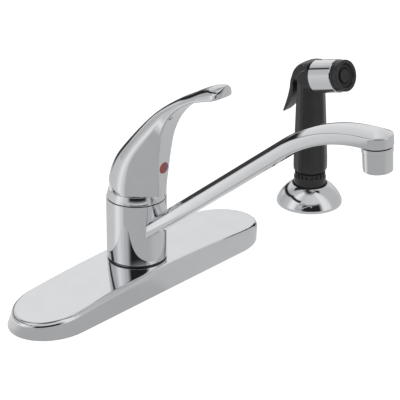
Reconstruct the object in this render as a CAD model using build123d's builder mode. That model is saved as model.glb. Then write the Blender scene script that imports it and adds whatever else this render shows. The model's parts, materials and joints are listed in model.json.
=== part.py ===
"""Single-handle kitchen faucet with a deck plate, a swivel spout and a side spray.

Units are millimetres. The origin is the centre of the valve body at the sink deck, +Z is up,
+X runs along the deck plate towards the side spray, and the spout and handle point to -Y.
"""
from build123d import *
from math import acos, atan2, cos, hypot, radians, sin, sqrt, tan
import os

os.makedirs("parts", exist_ok=True)

# ---------------------------------------------------------------- driving dimensions
# shared
FIT = 0.1                    # slip fit between still pieces
RUN = 0.08                   # radial clearance of turning pieces
OVERCUT = 1.0                # how far a cut or an overlap runs past the face it starts from
CLEAR = 160.0                # reaches past the handle or the hand spray from inside it

# deck plate
PLATE_LENGTH = 258.0
PLATE_WIDTH = 62.0
PLATE_END_REACH = 37.0       # half-axis of each elliptical end
PLATE_MID_HEIGHT = 15.2
PLATE_END_HEIGHT = 10.4
PLATE_EDGE_RADIUS = 4.2
PLATE_WALL = 2.2
NECK_TOP = 20.9
NECK_FLARE = 1.2
NECK_FLARE_DROP = 0.3        # the flare's foot lies this far below the plate's top
NECK_CLEARANCE = 0.3         # round the valve body
FAIRING_RISE = 3.6           # how far the front fairing stands above the plate top at the neck
FAIRING_SINK = 0.8           # how deep its ends and inner edge lie in the plate
FAIRING_INNER = 5.0          # its inner edge's distance from the hub axis at the middle
FAIRING_SLIM = 1.0           # its width behind the crest at the ends
FAIRING_END = 1.0            # it ends this far short of the plate's rounded end
FOOT_COVER = 2.0             # fairing and neck start this much above the wall's thickness
GASKET_THICKNESS = 2.0
GASKET_MARGIN = 0.4

# below the deck
HOLE_PITCH = 101.6           # four-inch spacing of the sink holes
CENTRE_HOLE = 17.0           # passage for the inlets and the spray outlet
DECK_GRIP = 20.0             # deck thickness that the nuts are run up to
STRAP_THICKNESS = 2.5
STRAP_LENGTH = 226.0
STRAP_WIDTH = 42.0
STUD_RADIUS = 3.175
STUD_DROP = 58.0
STUD_CLEAR = 1.4             # room round each stud in the gasket
STUD_HEX_MARGIN = 2.4
STUD_HEX_HEIGHT = 3.2
STUD_POINT = 0.8
WASHER_RADIUS = 15.0
WASHER_THICKNESS = 1.6
WING_HUB = 8.0
WING_SPAN = 17.0
WING_THICKNESS = 3.0
NUT_HEIGHT = 9.0
SCREW_RADIUS = 2.0
SCREW_HEAD = 2.9
SCREW_HEAD_RECESS = 0.4      # the head stays this far above the deck
SCREW_BITE = 4.0             # how far the screw enters the valve body
SCREW_HOLE_SPARE = 0.4
TUBE_RADIUS = 4.76
TUBE_WALL = 0.9
TUBE_SOCKET = 22.0
TUBE_DROP = 60.0
INLET_X = 9.6
INLET_Y = 6.8
INLET_HEX = 8.6
INLET_THREAD_RADIUS = 7.1
INLET_THREAD_LENGTH = 9.0
FITTING_SLEEVE = 10.0
OUTLET_THREAD_RADIUS = 6.6
OUTLET_THREAD_LENGTH = 10.0
OUTLET_DROP = 26.0
NIPPLE_ROOT = 6.2
NIPPLE_NECK = 5.4
NIPPLE_SOCKET = 8.0
NIPPLE_COLLAR = 7.4
NIPPLE_COLLAR_DROP = 1.5
NIPPLE_WAY = 4.0

# valve body and spout hub
BODY_RADIUS = 19.0
BODY_SHOULDER = 62.0
BODY_NECK_STEP = 2.0
BODY_TOP = 74.0
BODY_FLANGE_WIDTH = 5.0
BODY_FLANGE_THICKNESS = 5.0
SCREW_INSET = 3.5            # screw centres to the flange's edge
HUB_WALL = 4.5               # from the valve body's surface
HUB_TOP = 71.4
HUB_LOWER_GAP = 1.0          # filled by the lower glide ring
HUB_UPPER_GAP = 0.7          # filled by the upper one
GLIDE_INSET = 0.6
GLIDE_CLEARANCE = 0.2
SWIVEL_CLEARANCE = 0.08
CHAMBER_BORE = 5.0
CHAMBER_Y = -6.5
CHAMBER_TOP = 45.0
LOWER_SEAL_Z = 28.0
UPPER_SEAL_Z = 57.4
SEAL_HEIGHT = 3.2
SEAL_GROOVE_DEPTH = 1.9
SEAL_SECTION = 0.97          # radius of the seal's round section
WATER_GROOVE_DEPTH = 2.5
WATER_LOW = 38.0
WATER_HIGH = 55.4
PORT_X = 6.6
PORT_Y = 4.8
PORT_RADIUS = 2.6
DIVERTER_BORE = 3.4
SLEEVE_LOW = 24.0
SLEEVE_HIGH = 43.5
SLEEVE_PORT = 1.8
PLUNGER_LOW = 25.5
PLUNGER_LENGTH = 12.0
PLUNGER_LAND = 3.0
PLUNGER_WAIST = 4.0
PLUNGER_STEM = 1.3

# cartridge and bonnet nut
BONNET_OUTSET = 1.6          # past the valve body's surface
BONNET_ROOM = 0.4            # between nut and hub
SHOULDER_GAP = 0.3           # between the hub's step and the body's shoulder
NUT_TOP = 75.6
NUT_FOOT_GAP = 0.6
NUT_CHAMFER_RUN = 1.7
NUT_CHAMFER_RISE = 2.2
CARTRIDGE_RADIUS = 14.0
CAVITY_FLOOR = 46.0
CARTRIDGE_BOTTOM = 46.3
HOUSING_WALL = 1.7
HOUSING_FLOOR = 3.0
HOUSING_ROOF = 1.8
COLLAR_BORE = 11.6
COLLAR_CLEARANCE = 0.2
COLLAR_RISE = 3.0
PORT_SEAL = 3.7
PORT_SEAL_RECESS = 1.2
FIXED_DISC_THICKNESS = 4.1
MOVING_DISC = 9.4
MOVING_DISC_THICKNESS = 3.9
DISC_GAP = 0.05
DISC_REST = 2.05             # how far behind the axis the moving disc rests when shut
DISC_TRAVEL = 4.2
POCKET_WIDTH = 9.0
POCKET_LENGTH = 7.0
POCKET_DEPTH = 2.2
POCKET_SHIFT = 2.2
CARRIER_THICKNESS = 3.8
CARRIER_POST = 4.9
CARRIER_POST_SLIM = 4.6
POST_RISE = 2.6              # above the driving ball's centre
POST_SLOT = 3.4              # below it
POST_PLAY = 0.2
POST_ROOM = 1.0
ROTOR_NECK = 9.0
ROTOR_GAP = 0.4
ROTOR_HEAD = 4.2             # above the pivot
PIN_RADIUS = 1.5
PIN_INSET = 0.5
LEVER_WIDTH = 6.0
LEVER_PLAY = 0.15            # to each side
LEVER_BOSS = 4.5
LEVER_SHANK = 4.0
LEVER_NECK = 3.4
LEVER_TOP = 112.0
LEVER_POINT = 0.8
DRIVE_DROP = 12.0            # pivot to the lever's driving ball
DRIVE_BALL = 2.5

# handle and cap
PIVOT_Z = 80.0
CAP_SPHERE = 19.4
CAP_WALL = 1.3
CAP_INSET = 0.3              # the cap's foot inside the hub's outline
CAP_SKIRT_HEIGHT = 2.9
CAP_SKIRT_TAPER = 0.9
CAP_SHOULDER_INSET = 2.5
CAP_SHOULDER_Z = 77.2
CAP_SHELF = 1.1
CAP_OPENING = 14.6
CAP_NUT_ROOM = 0.4
DOME_GAP = 0.4               # between the cap's ball and the handle's hollow
DOME_RADIUS = 21.2
RIM_Z = 79.7
RIM_BREAK_Y = -6.0           # behind this the skirt's lower edge climbs
RIM_RISE = 0.255             # climb per mm
FACE_HALF = 9.0              # half width of the handle's flat front
FACE_DRAFT = 0.4
SIDE_SHARE = 0.45            # where the flat sides of the paddle end, of its depth
PADDLE_END_Y = -82.0         # where the paddle's rounded end begins
PADDLE_HALF = 10.4
PADDLE_Z = 181.0
PADDLE_REACH = 8.4
PADDLE_LEAN = 0.3
SOCKET_BOTTOM = 95.0
SET_SCREW_RADIUS = 2.5
SET_SCREW_LENGTH = 8.0
SET_SCREW_SOCKET = 1.3
SET_SCREW_GAP = 0.3
INDEX_Z = 103.0
INDEX_RADIUS = 4.7
INDEX_DEPTH = 2.4
INDEX_PROUD = 0.3
INDEX_EDGE = 0.4
# handle stations: front point (y, z), back point (y, z), half width of the flat front, crown
LEVER_STATIONS = (
    (-27.5, 74.0, 21.0, 74.0, FACE_HALF, DOME_RADIUS),
    (-27.8, 88.0, 20.8, 88.0, FACE_HALF, 20.9),
    (-28.8, 102.0, 15.8, 102.6, FACE_HALF, 17.8),
    (-30.6, 118.0, 3.0, 119.8, FACE_HALF, 13.8),
    (-33.2, 131.0, -11.6, 136.2, FACE_HALF, 11.2),
    (-40.6, 147.3, -28.0, 151.6, FACE_HALF, 0),
    (-52.5, 159.8, -47.8, 165.6, FACE_HALF, 0),
    (-64.5, 167.4, -61.5, 173.6, FACE_HALF + 0.1, 0),
    (-76.0, 171.6, -73.0, 180.2, FACE_HALF + 0.5, 0),
    (-85.0, 174.8, -82.5, 184.6, FACE_HALF + 1.0, 0),
    (-94.0, 178.8, -92.5, 187.6, FACE_HALF + 1.2, 0),
)

# spout
SPOUT_SLOPE = 38.9
SPOUT_END_SLOPE = 5.0
SPOUT_REACH = 226.0
SPOUT_END_RUN = 7.0          # straight end of the arm, up to the outlet's axis
SPOUT_BEND_RADIUS = 128.5
SPOUT_HUB_Z = 33.7           # height of the arm's centre line on the hub axis
SPOUT_HALF_WIDTH = 11.6
SPOUT_SIDE = 7.9             # height of the flat sides
SPOUT_CROWN = 3.9
SPOUT_KEEL = 0.95
SPOUT_KEEL_INSET = 3.0
WATERWAY = 4.6
WATERWAY_LEAD = 2.0          # starts this far inside the valve body's surface

# aerator
AERATOR_TOP_RADIUS = 11.1
AERATOR_BOTTOM_RADIUS = 10.4
AERATOR_HEIGHT = 17.6
AERATOR_BAND = 3.2
AERATOR_STEP = 0.35
AERATOR_EDGE = 0.6
AERATOR_MOUTH = 7.6
AERATOR_LIP = 1.1
NIPPLE_RADIUS = 8.6
NIPPLE_LENGTH = 7.0
WASHER_SECTION = 1.5
INSERT_DISH = 1.4
INSERT_RIM = 1.4
INSERT_RECESS = 1.6
JET_RADIUS = 0.85
JET_RINGS = ((2.6, 6), (5.2, 12))

# side spray holder
SPRAY_X = 203.2
SPRAY_Y = -8.6
FLANGE_RADIUS = 27.5
FLANGE_HEIGHT = 17.0
FLANGE_LIP = 2.2
FLANGE_WALL = 1.6
FLANGE_MIDDLE = (22.6, 10.6)  # a point of the flange's curve between lip and opening
FLANGE_MIDDLE_SLANT = 41.0   # direction that the curve faces there
FLANGE_OPENING = 15.0
SEAT_GAP = 0.3
SEAT_MARGIN = 0.4
COLLAR_RADIUS = 13.5
COLLAR_TOP = 24.6
COLLAR_EDGE = 0.8
HOLDER_BORE = 11.2
HOLDER_FLOOR = 8.0
HOSE_WAY = 9.0
SUPPORT_FLANGE = 22.0
SUPPORT_RIM = 3.0
SUPPORT_ROOT = 5.0
SHANK_RADIUS = 13.5
SHANK_DROP = 44.0
LOCKNUT_HUB = 3.4
LOCKNUT_WING = 6.0
LOCKNUT_HEIGHT = 8.0

# hand spray
GRIP_RADIUS = 15.0           # across the corners, at the widest
GRIP_BOTTOM = 28.4
GRIP_CORNER = 2.6
GRIP_WAY = 5.0
GRIP_WAY_STEP = 1.0
# stations of the eight-sided grip: height, radius over the corners, lean to the back
GRIP_STATIONS = ((GRIP_BOTTOM, 12.8, 0.0), (32.5, GRIP_RADIUS - 0.2, 0.0), (40.0, GRIP_RADIUS - 0.25, 0.0),
                 (74.0, 13.6, 0.8), (92.0, 11.5, 2.1), (108.0, 10.6, 2.6))
TOOTH_ROOT = 11.8
TOOTH_COUNT = 20
TOOTH_DEPTH = 1.1            # past the root
TOOTH_WIDTH = 2.0
SPIGOT_BOTTOM = 10.0
SPIGOT_CLEARANCE = 0.3
HEAD_TILT = 16.0
HEAD_RADIUS = 13.1
HEAD_Z = 113.0
HEAD_LEAD = 0.2
HEAD_FRONT = 35.8            # head centre to nozzle face, along the barrel
BARREL_BACK = 8.6
BARREL_ROUND = 3.0
BARREL_FRONT = 31.0
BARREL_BORE = 9.4
BARREL_FLOOR = 3.0
BAND_START = 6.0
BAND_LENGTH = 23.0
BAND_RADIUS = 13.9
BAND_EDGE = 0.4
NOZZLE_EDGE = 1.2
NOZZLE_STEP = 1.2
SPRAY_FACE_RADIUS = 10.4
FACE_INSET = 0.6
FACE_RIM = 1.2
FACE_DISH = 0.8
SPRAY_JET = 0.55
SPRAY_RINGS = ((3.0, 6), (5.9, 12))
TRIGGER_OUTER = ((-0.8, 127.2), (3.0, 126.6), (8.0, 124.4), (14.6, 119.0), (18.3, 110.0), (21.0, 98.0),
                 (23.6, 89.0), (28.3, 76.8))
TRIGGER_INNER = ((25.9, 76.0), (21.4, 83.0), (16.6, 91.0), (13.8, 97.0), (13.8, 106.0), (12.4, 113.0),
                 (9.6, 118.0), (4.0, 121.6), (-0.8, 121.8))
TRIGGER_WIDTH = 15.0
TRIGGER_ANGLE = 9.5
TRIGGER_HUB = 2.4
TRIGGER_PIN_Y = 1.6
TRIGGER_PIN_Z = 124.0
TRIGGER_ROOM = 0.4
TRIGGER_TIP = 9.0            # width of the tail's tip
TAIL_Z = 78.2
TAIL_TAPER = 24.0
TAIL_HOLLOW = 0.9
TAIL_RIM = 1.4
EAR_RADIUS = 2.9
EAR_WIDTH = 2.6
EAR_DROP = 10.0
SPRAY_PIN_RADIUS = 1.1
STEM_Z = 101.0               # height of the spray valve's push stem
STEM_RADIUS = 1.3
STEM_HEAD = 2.7
STEM_HEAD_LENGTH = 2.0
STEM_HEAD_GAP = 0.4
STEM_EDGE = 0.4
STEM_GAP = 0.35              # between the stem's end and the trigger
SEAT_LENGTH = 1.6
SEAT_PLAY = 0.5
VALVE_CHAMBER = 3.6
CHAMBER_FRONT = 6.6
VALVE_INLET = 1.4
VALVE_INLET_DROP = 5.0
VALVE_OUTLET = 2.2
VALVE_OUTLET_INSET = 0.3     # behind the chamber's front wall
HOSE_SOCKET = 12.0
CONNECTOR_WAY = 2.6
CONNECTOR_THREAD = 5.8
CONNECTOR_THREAD_LENGTH = 9.0
CONNECTOR_BOTTOM = -2.0
CONNECTOR_FLANGE = 7.8
CONNECTOR_GAP = 1.0
SEAL_SHEET = 1.0


# ---------------------------------------------------------------- shared geometry
def arch_top(x):
    """Height of the plate's gently arched top at a distance x from the middle."""
    return PLATE_MID_HEIGHT - ARCH_RADIUS + sqrt(ARCH_RADIUS**2 - x**2)


def stadium(length, width, reach):
    """Outline with straight long sides and elliptical ends."""
    x, y = length / 2 - reach, width / 2
    with BuildSketch() as outline:
        with BuildLine():
            Line((-x, -y), (x, -y))
            EllipticalCenterArc((x, 0), reach, y, start_angle=-90, arc_size=180)
            Line((x, y), (-x, y))
            EllipticalCenterArc((-x, 0), reach, y, start_angle=90, arc_size=180)
        make_face()
    return outline.sketch


def ring(outer, inner, bottom, top):
    """Flat ring about the Z axis."""
    with BuildPart() as made:
        with BuildSketch(Plane.XY.offset(bottom)):
            Circle(outer)
            Circle(inner, mode=Mode.SUBTRACT)
        extrude(amount=top - bottom)
    return made.part


def turned(points, plane=Plane.XZ, axis=Axis.Z):
    """Solid of revolution from a closed polygon of (radius, height) points."""
    with BuildPart() as made:
        with BuildSketch(plane):
            with BuildLine():
                Polyline(*points, close=True)
            make_face()
        revolve(axis=axis)
    return made.part


def save(piece, name):
    """Label a finished piece and write it."""
    piece.label = name
    export_step(piece, f"parts/{name}.step")


# ---------------------------------------------------------------- sizes that follow from the above
UP = (Align.CENTER, Align.CENTER, Align.MIN)
DOWN = (Align.CENTER, Align.CENTER, Align.MAX)
HUB_RADIUS = BODY_RADIUS + HUB_WALL
HUB_BOTTOM = NECK_TOP + HUB_LOWER_GAP
CAP_BOTTOM = HUB_TOP + HUB_UPPER_GAP
BONNET_RADIUS = BODY_RADIUS + BONNET_OUTSET
BODY_NECK_RADIUS = BODY_RADIUS - BODY_NECK_STEP
SEAL_GROOVE_RADIUS = BODY_RADIUS - SEAL_GROOVE_DEPTH
DRIVE_Z = PIVOT_Z - DRIVE_DROP
ARCH_SAG = PLATE_MID_HEIGHT - PLATE_END_HEIGHT
ARCH_RADIUS = ((PLATE_LENGTH / 2) ** 2 + ARCH_SAG**2) / (2 * ARCH_SAG)
STRAP_TOP = GASKET_THICKNESS + STRAP_THICKNESS
BODY_FLANGE_TOP = STRAP_TOP + BODY_FLANGE_THICKNESS
BODY_FLANGE_RADIUS = BODY_RADIUS + BODY_FLANGE_WIDTH
SCREW_X = BODY_FLANGE_RADIUS - SCREW_INSET
NECK_BORE = BODY_RADIUS + NECK_CLEARANCE
PORTS = ((-PORT_X, PORT_Y), (PORT_X, PORT_Y), (0, CHAMBER_Y))
DISC_FLOOR = CARTRIDGE_BOTTOM + HOUSING_FLOOR
DISC_JOINT = DISC_FLOOR + FIXED_DISC_THICKNESS
MOVING_TOP = DISC_JOINT + DISC_GAP + MOVING_DISC_THICKNESS
CARRIER_TOP = MOVING_TOP + DISC_GAP + CARRIER_THICKNESS
ROTOR_TOP = BODY_TOP - HOUSING_ROOF
HOUSING_BORE = CARTRIDGE_RADIUS - HOUSING_WALL
NUT_LIP = NUT_TOP - BODY_TOP - FIT

# ---------------------------------------------------------------- deck plate
with BuildPart() as plate_hollow:
    with BuildSketch():
        add(stadium(PLATE_LENGTH - 2 * PLATE_WALL, PLATE_WIDTH - 2 * PLATE_WALL,
                    PLATE_END_REACH - PLATE_WALL))
    extrude(amount=PLATE_MID_HEIGHT)
    with BuildSketch(Plane.XZ):
        with BuildLine():
            half = PLATE_LENGTH / 2
            low = PLATE_END_HEIGHT - PLATE_WALL
            Polyline((half, low), (half, -OVERCUT), (-half, -OVERCUT), (-half, low))
            ThreePointArc((-half, low), (0, PLATE_MID_HEIGHT - PLATE_WALL), (half, low))
        make_face()
    extrude(amount=PLATE_WIDTH / 2, both=True, mode=Mode.INTERSECT)

with BuildPart() as deck_plate:
    with BuildSketch():
        add(stadium(PLATE_LENGTH, PLATE_WIDTH, PLATE_END_REACH))
    extrude(amount=PLATE_MID_HEIGHT)
    with BuildSketch(Plane.XZ):
        with BuildLine():
            Polyline((half, PLATE_END_HEIGHT), (half, 0), (-half, 0), (-half, PLATE_END_HEIGHT))
            ThreePointArc((-half, PLATE_END_HEIGHT), (0, PLATE_MID_HEIGHT), (half, PLATE_END_HEIGHT))
        make_face()
    extrude(amount=PLATE_WIDTH, both=True, mode=Mode.INTERSECT)
    top_face = deck_plate.faces().sort_by(Axis.Z)[-1]
    fillet(top_face.edges(), PLATE_EDGE_RADIUS)

# front fairing, a swept ridge that carries the front edge up to the neck
with BuildPart() as fairing:
    crest_y = -PLATE_WIDTH / 2 + PLATE_EDGE_RADIUS
    front_y = -PLATE_WIDTH / 2
    foot = PLATE_WALL + FOOT_COVER
    reach = PLATE_LENGTH / 2 - PLATE_END_REACH - FAIRING_END
    for share in (-1.0, -0.75, -0.5, -0.25, 0.0, 0.25, 0.5, 0.75, 1.0):
        top = arch_top(share * reach)
        crest = top + (FAIRING_RISE + FAIRING_SINK) * (1 - share**2) ** 1.5 - FAIRING_SINK
        inner = -FAIRING_INNER + (crest_y + FAIRING_INNER + FAIRING_SLIM) * abs(share)
        with BuildSketch(Plane.YZ.offset(share * reach)):
            with BuildLine():
                Line((front_y, foot), (inner, foot))
                Line((inner, foot), (inner, top - FAIRING_SINK))
                Spline((inner, top - FAIRING_SINK), (crest_y, crest), tangents=((-1, 0), (-1, 0)))
                RadiusArc((crest_y, crest), (front_y, crest - PLATE_EDGE_RADIUS), -PLATE_EDGE_RADIUS)
                Line((front_y, crest - PLATE_EDGE_RADIUS), (front_y, foot))
            make_face()
    loft()

with BuildPart() as neck:
    flare = HUB_RADIUS + NECK_FLARE
    with BuildSketch(Plane.XZ):
        with BuildLine():
            base = PLATE_MID_HEIGHT - NECK_FLARE_DROP
            Polyline((HUB_RADIUS, base + NECK_FLARE), (HUB_RADIUS, NECK_TOP), (0, NECK_TOP),
                     (0, foot), (flare, foot), (flare, base))
            RadiusArc((HUB_RADIUS, base + NECK_FLARE), (flare, base), -NECK_FLARE)
        make_face()
    revolve(axis=Axis.Z)

with BuildPart() as deck_cover:
    add(deck_plate.part)
    add(plate_hollow.part, mode=Mode.SUBTRACT)
    add(fairing.part - plate_hollow.part)
    add(neck.part - plate_hollow.part)
    with Locations((0, 0, NECK_TOP)):
        Cylinder(NECK_BORE, NECK_TOP, align=DOWN, mode=Mode.SUBTRACT)
save(deck_cover.part, "deck_plate")

# ---------------------------------------------------------------- fixing hardware below the plate
with BuildPart() as base_gasket:
    inset = 2 * (PLATE_WALL + GASKET_MARGIN)
    with BuildSketch():
        add(stadium(PLATE_LENGTH - inset, PLATE_WIDTH - inset, PLATE_END_REACH - inset / 2))
        Circle(CENTRE_HOLE, mode=Mode.SUBTRACT)
        with GridLocations(2 * HOLE_PITCH, 0, 2, 1):
            Circle(STUD_RADIUS + STUD_CLEAR, mode=Mode.SUBTRACT)
        with GridLocations(2 * SCREW_X, 0, 2, 1):
            Circle(SCREW_HEAD + FIT, mode=Mode.SUBTRACT)
    extrude(amount=GASKET_THICKNESS)
save(base_gasket.part, "base_gasket")

with BuildPart() as mounting_strap:
    with BuildSketch(Plane.XY.offset(GASKET_THICKNESS)):
        SlotOverall(STRAP_LENGTH, STRAP_WIDTH)
        Circle(CENTRE_HOLE, mode=Mode.SUBTRACT)
        with GridLocations(2 * HOLE_PITCH, 0, 2, 1):
            Circle(STUD_RADIUS + FIT, mode=Mode.SUBTRACT)
        with GridLocations(2 * SCREW_X, 0, 2, 1):
            Circle(SCREW_RADIUS + FIT, mode=Mode.SUBTRACT)
    extrude(amount=STRAP_THICKNESS)
save(mounting_strap.part, "mounting_strap")

with BuildPart() as body_screws:
    with BuildSketch(Plane.XY.offset(GASKET_THICKNESS)):
        with GridLocations(2 * SCREW_X, 0, 2, 1):
            Circle(SCREW_HEAD)
    extrude(amount=SCREW_HEAD_RECESS - GASKET_THICKNESS)
    with BuildSketch(Plane.XY.offset(GASKET_THICKNESS)):
        with GridLocations(2 * SCREW_X, 0, 2, 1):
            Circle(SCREW_RADIUS)
    extrude(amount=STRAP_THICKNESS + SCREW_BITE)
save(body_screws.part, "body_screws")

with BuildPart() as mounting_studs:
    with BuildSketch(Plane.XY.offset(STRAP_TOP)):
        with GridLocations(2 * HOLE_PITCH, 0, 2, 1):
            RegularPolygon(STUD_RADIUS + STUD_HEX_MARGIN, 6)
    extrude(amount=STUD_HEX_HEIGHT)
    with BuildSketch(Plane.XY.offset(STRAP_TOP)):
        with GridLocations(2 * HOLE_PITCH, 0, 2, 1):
            Circle(STUD_RADIUS)
    extrude(amount=-(STRAP_TOP + STUD_DROP))
    chamfer(mounting_studs.faces().sort_by(Axis.Z)[:2].edges(), STUD_POINT)
save(mounting_studs.part, "mounting_studs")

with BuildPart() as deck_washers:
    with BuildSketch(Plane.XY.offset(-DECK_GRIP)):
        with GridLocations(2 * HOLE_PITCH, 0, 2, 1):
            Circle(WASHER_RADIUS)
            Circle(STUD_RADIUS + FIT, mode=Mode.SUBTRACT)
    extrude(amount=-WASHER_THICKNESS)
save(deck_washers.part, "deck_washers")

with BuildPart() as wing_nuts:
    with BuildSketch(Plane.XY.offset(-DECK_GRIP - WASHER_THICKNESS)):
        with GridLocations(2 * HOLE_PITCH, 0, 2, 1):
            Circle(WING_HUB)
            Rectangle(2 * WING_SPAN, WING_THICKNESS)
            Circle(STUD_RADIUS + FIT, mode=Mode.SUBTRACT)
    extrude(amount=-NUT_HEIGHT)
save(wing_nuts.part, "wing_nuts")

# ---------------------------------------------------------------- valve body
with BuildPart() as valve_body:
    add(turned([(0, STRAP_TOP), (BODY_FLANGE_RADIUS, STRAP_TOP), (BODY_FLANGE_RADIUS, BODY_FLANGE_TOP),
                (BODY_RADIUS, BODY_FLANGE_TOP), (BODY_RADIUS, BODY_SHOULDER),
                (BODY_NECK_RADIUS, BODY_SHOULDER), (BODY_NECK_RADIUS, BODY_TOP), (0, BODY_TOP)]))
    for low in (LOWER_SEAL_Z, UPPER_SEAL_Z):
        add(ring(BODY_RADIUS + OVERCUT, SEAL_GROOVE_RADIUS, low, low + SEAL_HEIGHT), mode=Mode.SUBTRACT)
    add(ring(BODY_RADIUS + OVERCUT, BODY_RADIUS - WATER_GROOVE_DEPTH, WATER_LOW, WATER_HIGH),
        mode=Mode.SUBTRACT)
    with Locations((0, 0, BODY_TOP)):
        Cylinder(CARTRIDGE_RADIUS + FIT, BODY_TOP - CAVITY_FLOOR, mode=Mode.SUBTRACT,
                 align=DOWN)
    # hot and cold ways, wide below for the copper tails
    with Locations((-INLET_X, INLET_Y, STRAP_TOP), (INLET_X, INLET_Y, STRAP_TOP)):
        Cylinder(TUBE_RADIUS + FIT, TUBE_SOCKET, mode=Mode.SUBTRACT,
                 align=UP)
    with Locations((-PORT_X, PORT_Y, CAVITY_FLOOR), (PORT_X, PORT_Y, CAVITY_FLOOR)):
        Cylinder(PORT_RADIUS, CAVITY_FLOOR - STRAP_TOP - TUBE_SOCKET + OVERCUT, mode=Mode.SUBTRACT,
                 align=DOWN)
    # mixed water comes down to the diverter chamber and leaves forwards to the spout
    with Locations((0, CHAMBER_Y, CAVITY_FLOOR)):
        Cylinder(PORT_RADIUS, CAVITY_FLOOR - CHAMBER_TOP + OVERCUT, mode=Mode.SUBTRACT,
                 align=DOWN)
    with Locations((0, CHAMBER_Y, STRAP_TOP)):
        Cylinder(CHAMBER_BORE, CHAMBER_TOP - STRAP_TOP, mode=Mode.SUBTRACT,
                 align=UP)
        Cylinder(NIPPLE_ROOT + FIT, NIPPLE_SOCKET, mode=Mode.SUBTRACT,
                 align=UP)
    with BuildSketch(Plane.XZ.offset(-CHAMBER_Y)):
        with Locations((0, WATER_LOW + PORT_RADIUS)):
            Circle(PORT_RADIUS)
    extrude(amount=BODY_RADIUS, mode=Mode.SUBTRACT)
    with Locations((-SCREW_X, 0, STRAP_TOP), (SCREW_X, 0, STRAP_TOP)):
        Cylinder(SCREW_RADIUS + FIT, SCREW_BITE + SCREW_HOLE_SPARE, mode=Mode.SUBTRACT, align=UP)
save(valve_body.part, "valve_body")

with BuildPart() as spout_seals:
    for low in (LOWER_SEAL_Z, UPPER_SEAL_Z):
        with BuildSketch(Plane.XZ):
            with Locations((SEAL_GROOVE_RADIUS + SEAL_SECTION, low + SEAL_HEIGHT / 2)):
                Circle(SEAL_SECTION)
        revolve(axis=Axis.Z)
save(spout_seals.part, "spout_seals")

save(ring(HUB_RADIUS - GLIDE_INSET, NECK_BORE, NECK_TOP, HUB_BOTTOM), "lower_glide_ring")
save(ring(HUB_RADIUS - GLIDE_INSET, BONNET_RADIUS + GLIDE_CLEARANCE, HUB_TOP, CAP_BOTTOM),
     "upper_glide_ring")

# supply tails, spray outlet and diverter
for name, side in (("hot", -1), ("cold", 1)):
    with BuildPart() as tail:
        with BuildSketch(Plane.XY.offset(-TUBE_DROP)):
            with Locations((side * INLET_X, INLET_Y)):
                Circle(TUBE_RADIUS)
                Circle(TUBE_RADIUS - TUBE_WALL, mode=Mode.SUBTRACT)
        extrude(amount=TUBE_DROP + STRAP_TOP + TUBE_SOCKET - FIT)
    save(tail.part, f"{name}_supply_tail")
    with BuildPart() as fitting:
        with BuildSketch(Plane.XY.offset(-TUBE_DROP)):
            with Locations((side * INLET_X, INLET_Y)):
                RegularPolygon(INLET_HEX, 6)
        extrude(amount=FITTING_SLEEVE)
        with BuildSketch(Plane.XY.offset(-TUBE_DROP)):
            with Locations((side * INLET_X, INLET_Y)):
                Circle(INLET_THREAD_RADIUS)
        extrude(amount=-INLET_THREAD_LENGTH)
        with Locations((side * INLET_X, INLET_Y, -TUBE_DROP)):
            Cylinder(TUBE_RADIUS + FIT, FITTING_SLEEVE, mode=Mode.SUBTRACT,
                     align=UP)
            Cylinder(TUBE_RADIUS - TUBE_WALL, INLET_THREAD_LENGTH, mode=Mode.SUBTRACT,
                     align=DOWN)
    save(fitting.part, f"{name}_inlet_fitting")

with BuildPart() as spray_outlet:
    add(turned([(NIPPLE_WAY, -OUTLET_DROP), (OUTLET_THREAD_RADIUS, -OUTLET_DROP),
                (OUTLET_THREAD_RADIUS, OUTLET_THREAD_LENGTH - OUTLET_DROP),
                (NIPPLE_NECK, OUTLET_THREAD_LENGTH - OUTLET_DROP), (NIPPLE_NECK, -NIPPLE_COLLAR_DROP),
                (NIPPLE_COLLAR, -NIPPLE_COLLAR_DROP), (NIPPLE_COLLAR, STRAP_TOP - FIT),
                (NIPPLE_ROOT, STRAP_TOP - FIT), (NIPPLE_ROOT, STRAP_TOP + NIPPLE_SOCKET - FIT),
                (NIPPLE_WAY, STRAP_TOP + NIPPLE_SOCKET - FIT)]))
save(spray_outlet.part.moved(Location((0, CHAMBER_Y, 0))), "spray_outlet")

with BuildPart() as diverter_sleeve:
    add(ring(CHAMBER_BORE - FIT, DIVERTER_BORE, SLEEVE_LOW, SLEEVE_HIGH))
    with BuildSketch(Plane.XZ.offset(-CHAMBER_BORE)):
        with Locations((0, WATER_LOW + PORT_RADIUS)):
            Circle(SLEEVE_PORT)
    extrude(amount=2 * CHAMBER_BORE, mode=Mode.SUBTRACT)
save(diverter_sleeve.part.moved(Location((0, CHAMBER_Y, 0))), "diverter_sleeve")

with BuildPart() as diverter_plunger:
    land, land_top = DIVERTER_BORE - RUN, PLUNGER_LOW + PLUNGER_LAND
    waist_top = land_top + PLUNGER_WAIST
    add(turned([(0, PLUNGER_LOW), (land, PLUNGER_LOW), (land, land_top), (PLUNGER_STEM, land_top),
                (PLUNGER_STEM, waist_top), (land, waist_top), (land, PLUNGER_LOW + PLUNGER_LENGTH),
                (0, PLUNGER_LOW + PLUNGER_LENGTH)]))
save(diverter_plunger.part.moved(Location((0, CHAMBER_Y, 0))), "diverter_plunger")

# ---------------------------------------------------------------- cartridge and bonnet
nut_foot = BODY_SHOULDER + NUT_FOOT_GAP
save(turned([(BODY_NECK_RADIUS + FIT, nut_foot), (BONNET_RADIUS, nut_foot),
             (BONNET_RADIUS, NUT_TOP - NUT_CHAMFER_RISE), (BONNET_RADIUS - NUT_CHAMFER_RUN, NUT_TOP),
             (COLLAR_BORE, NUT_TOP), (COLLAR_BORE, NUT_TOP - NUT_LIP),
             (BODY_NECK_RADIUS + FIT, NUT_TOP - NUT_LIP)]), "bonnet_nut")

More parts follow.
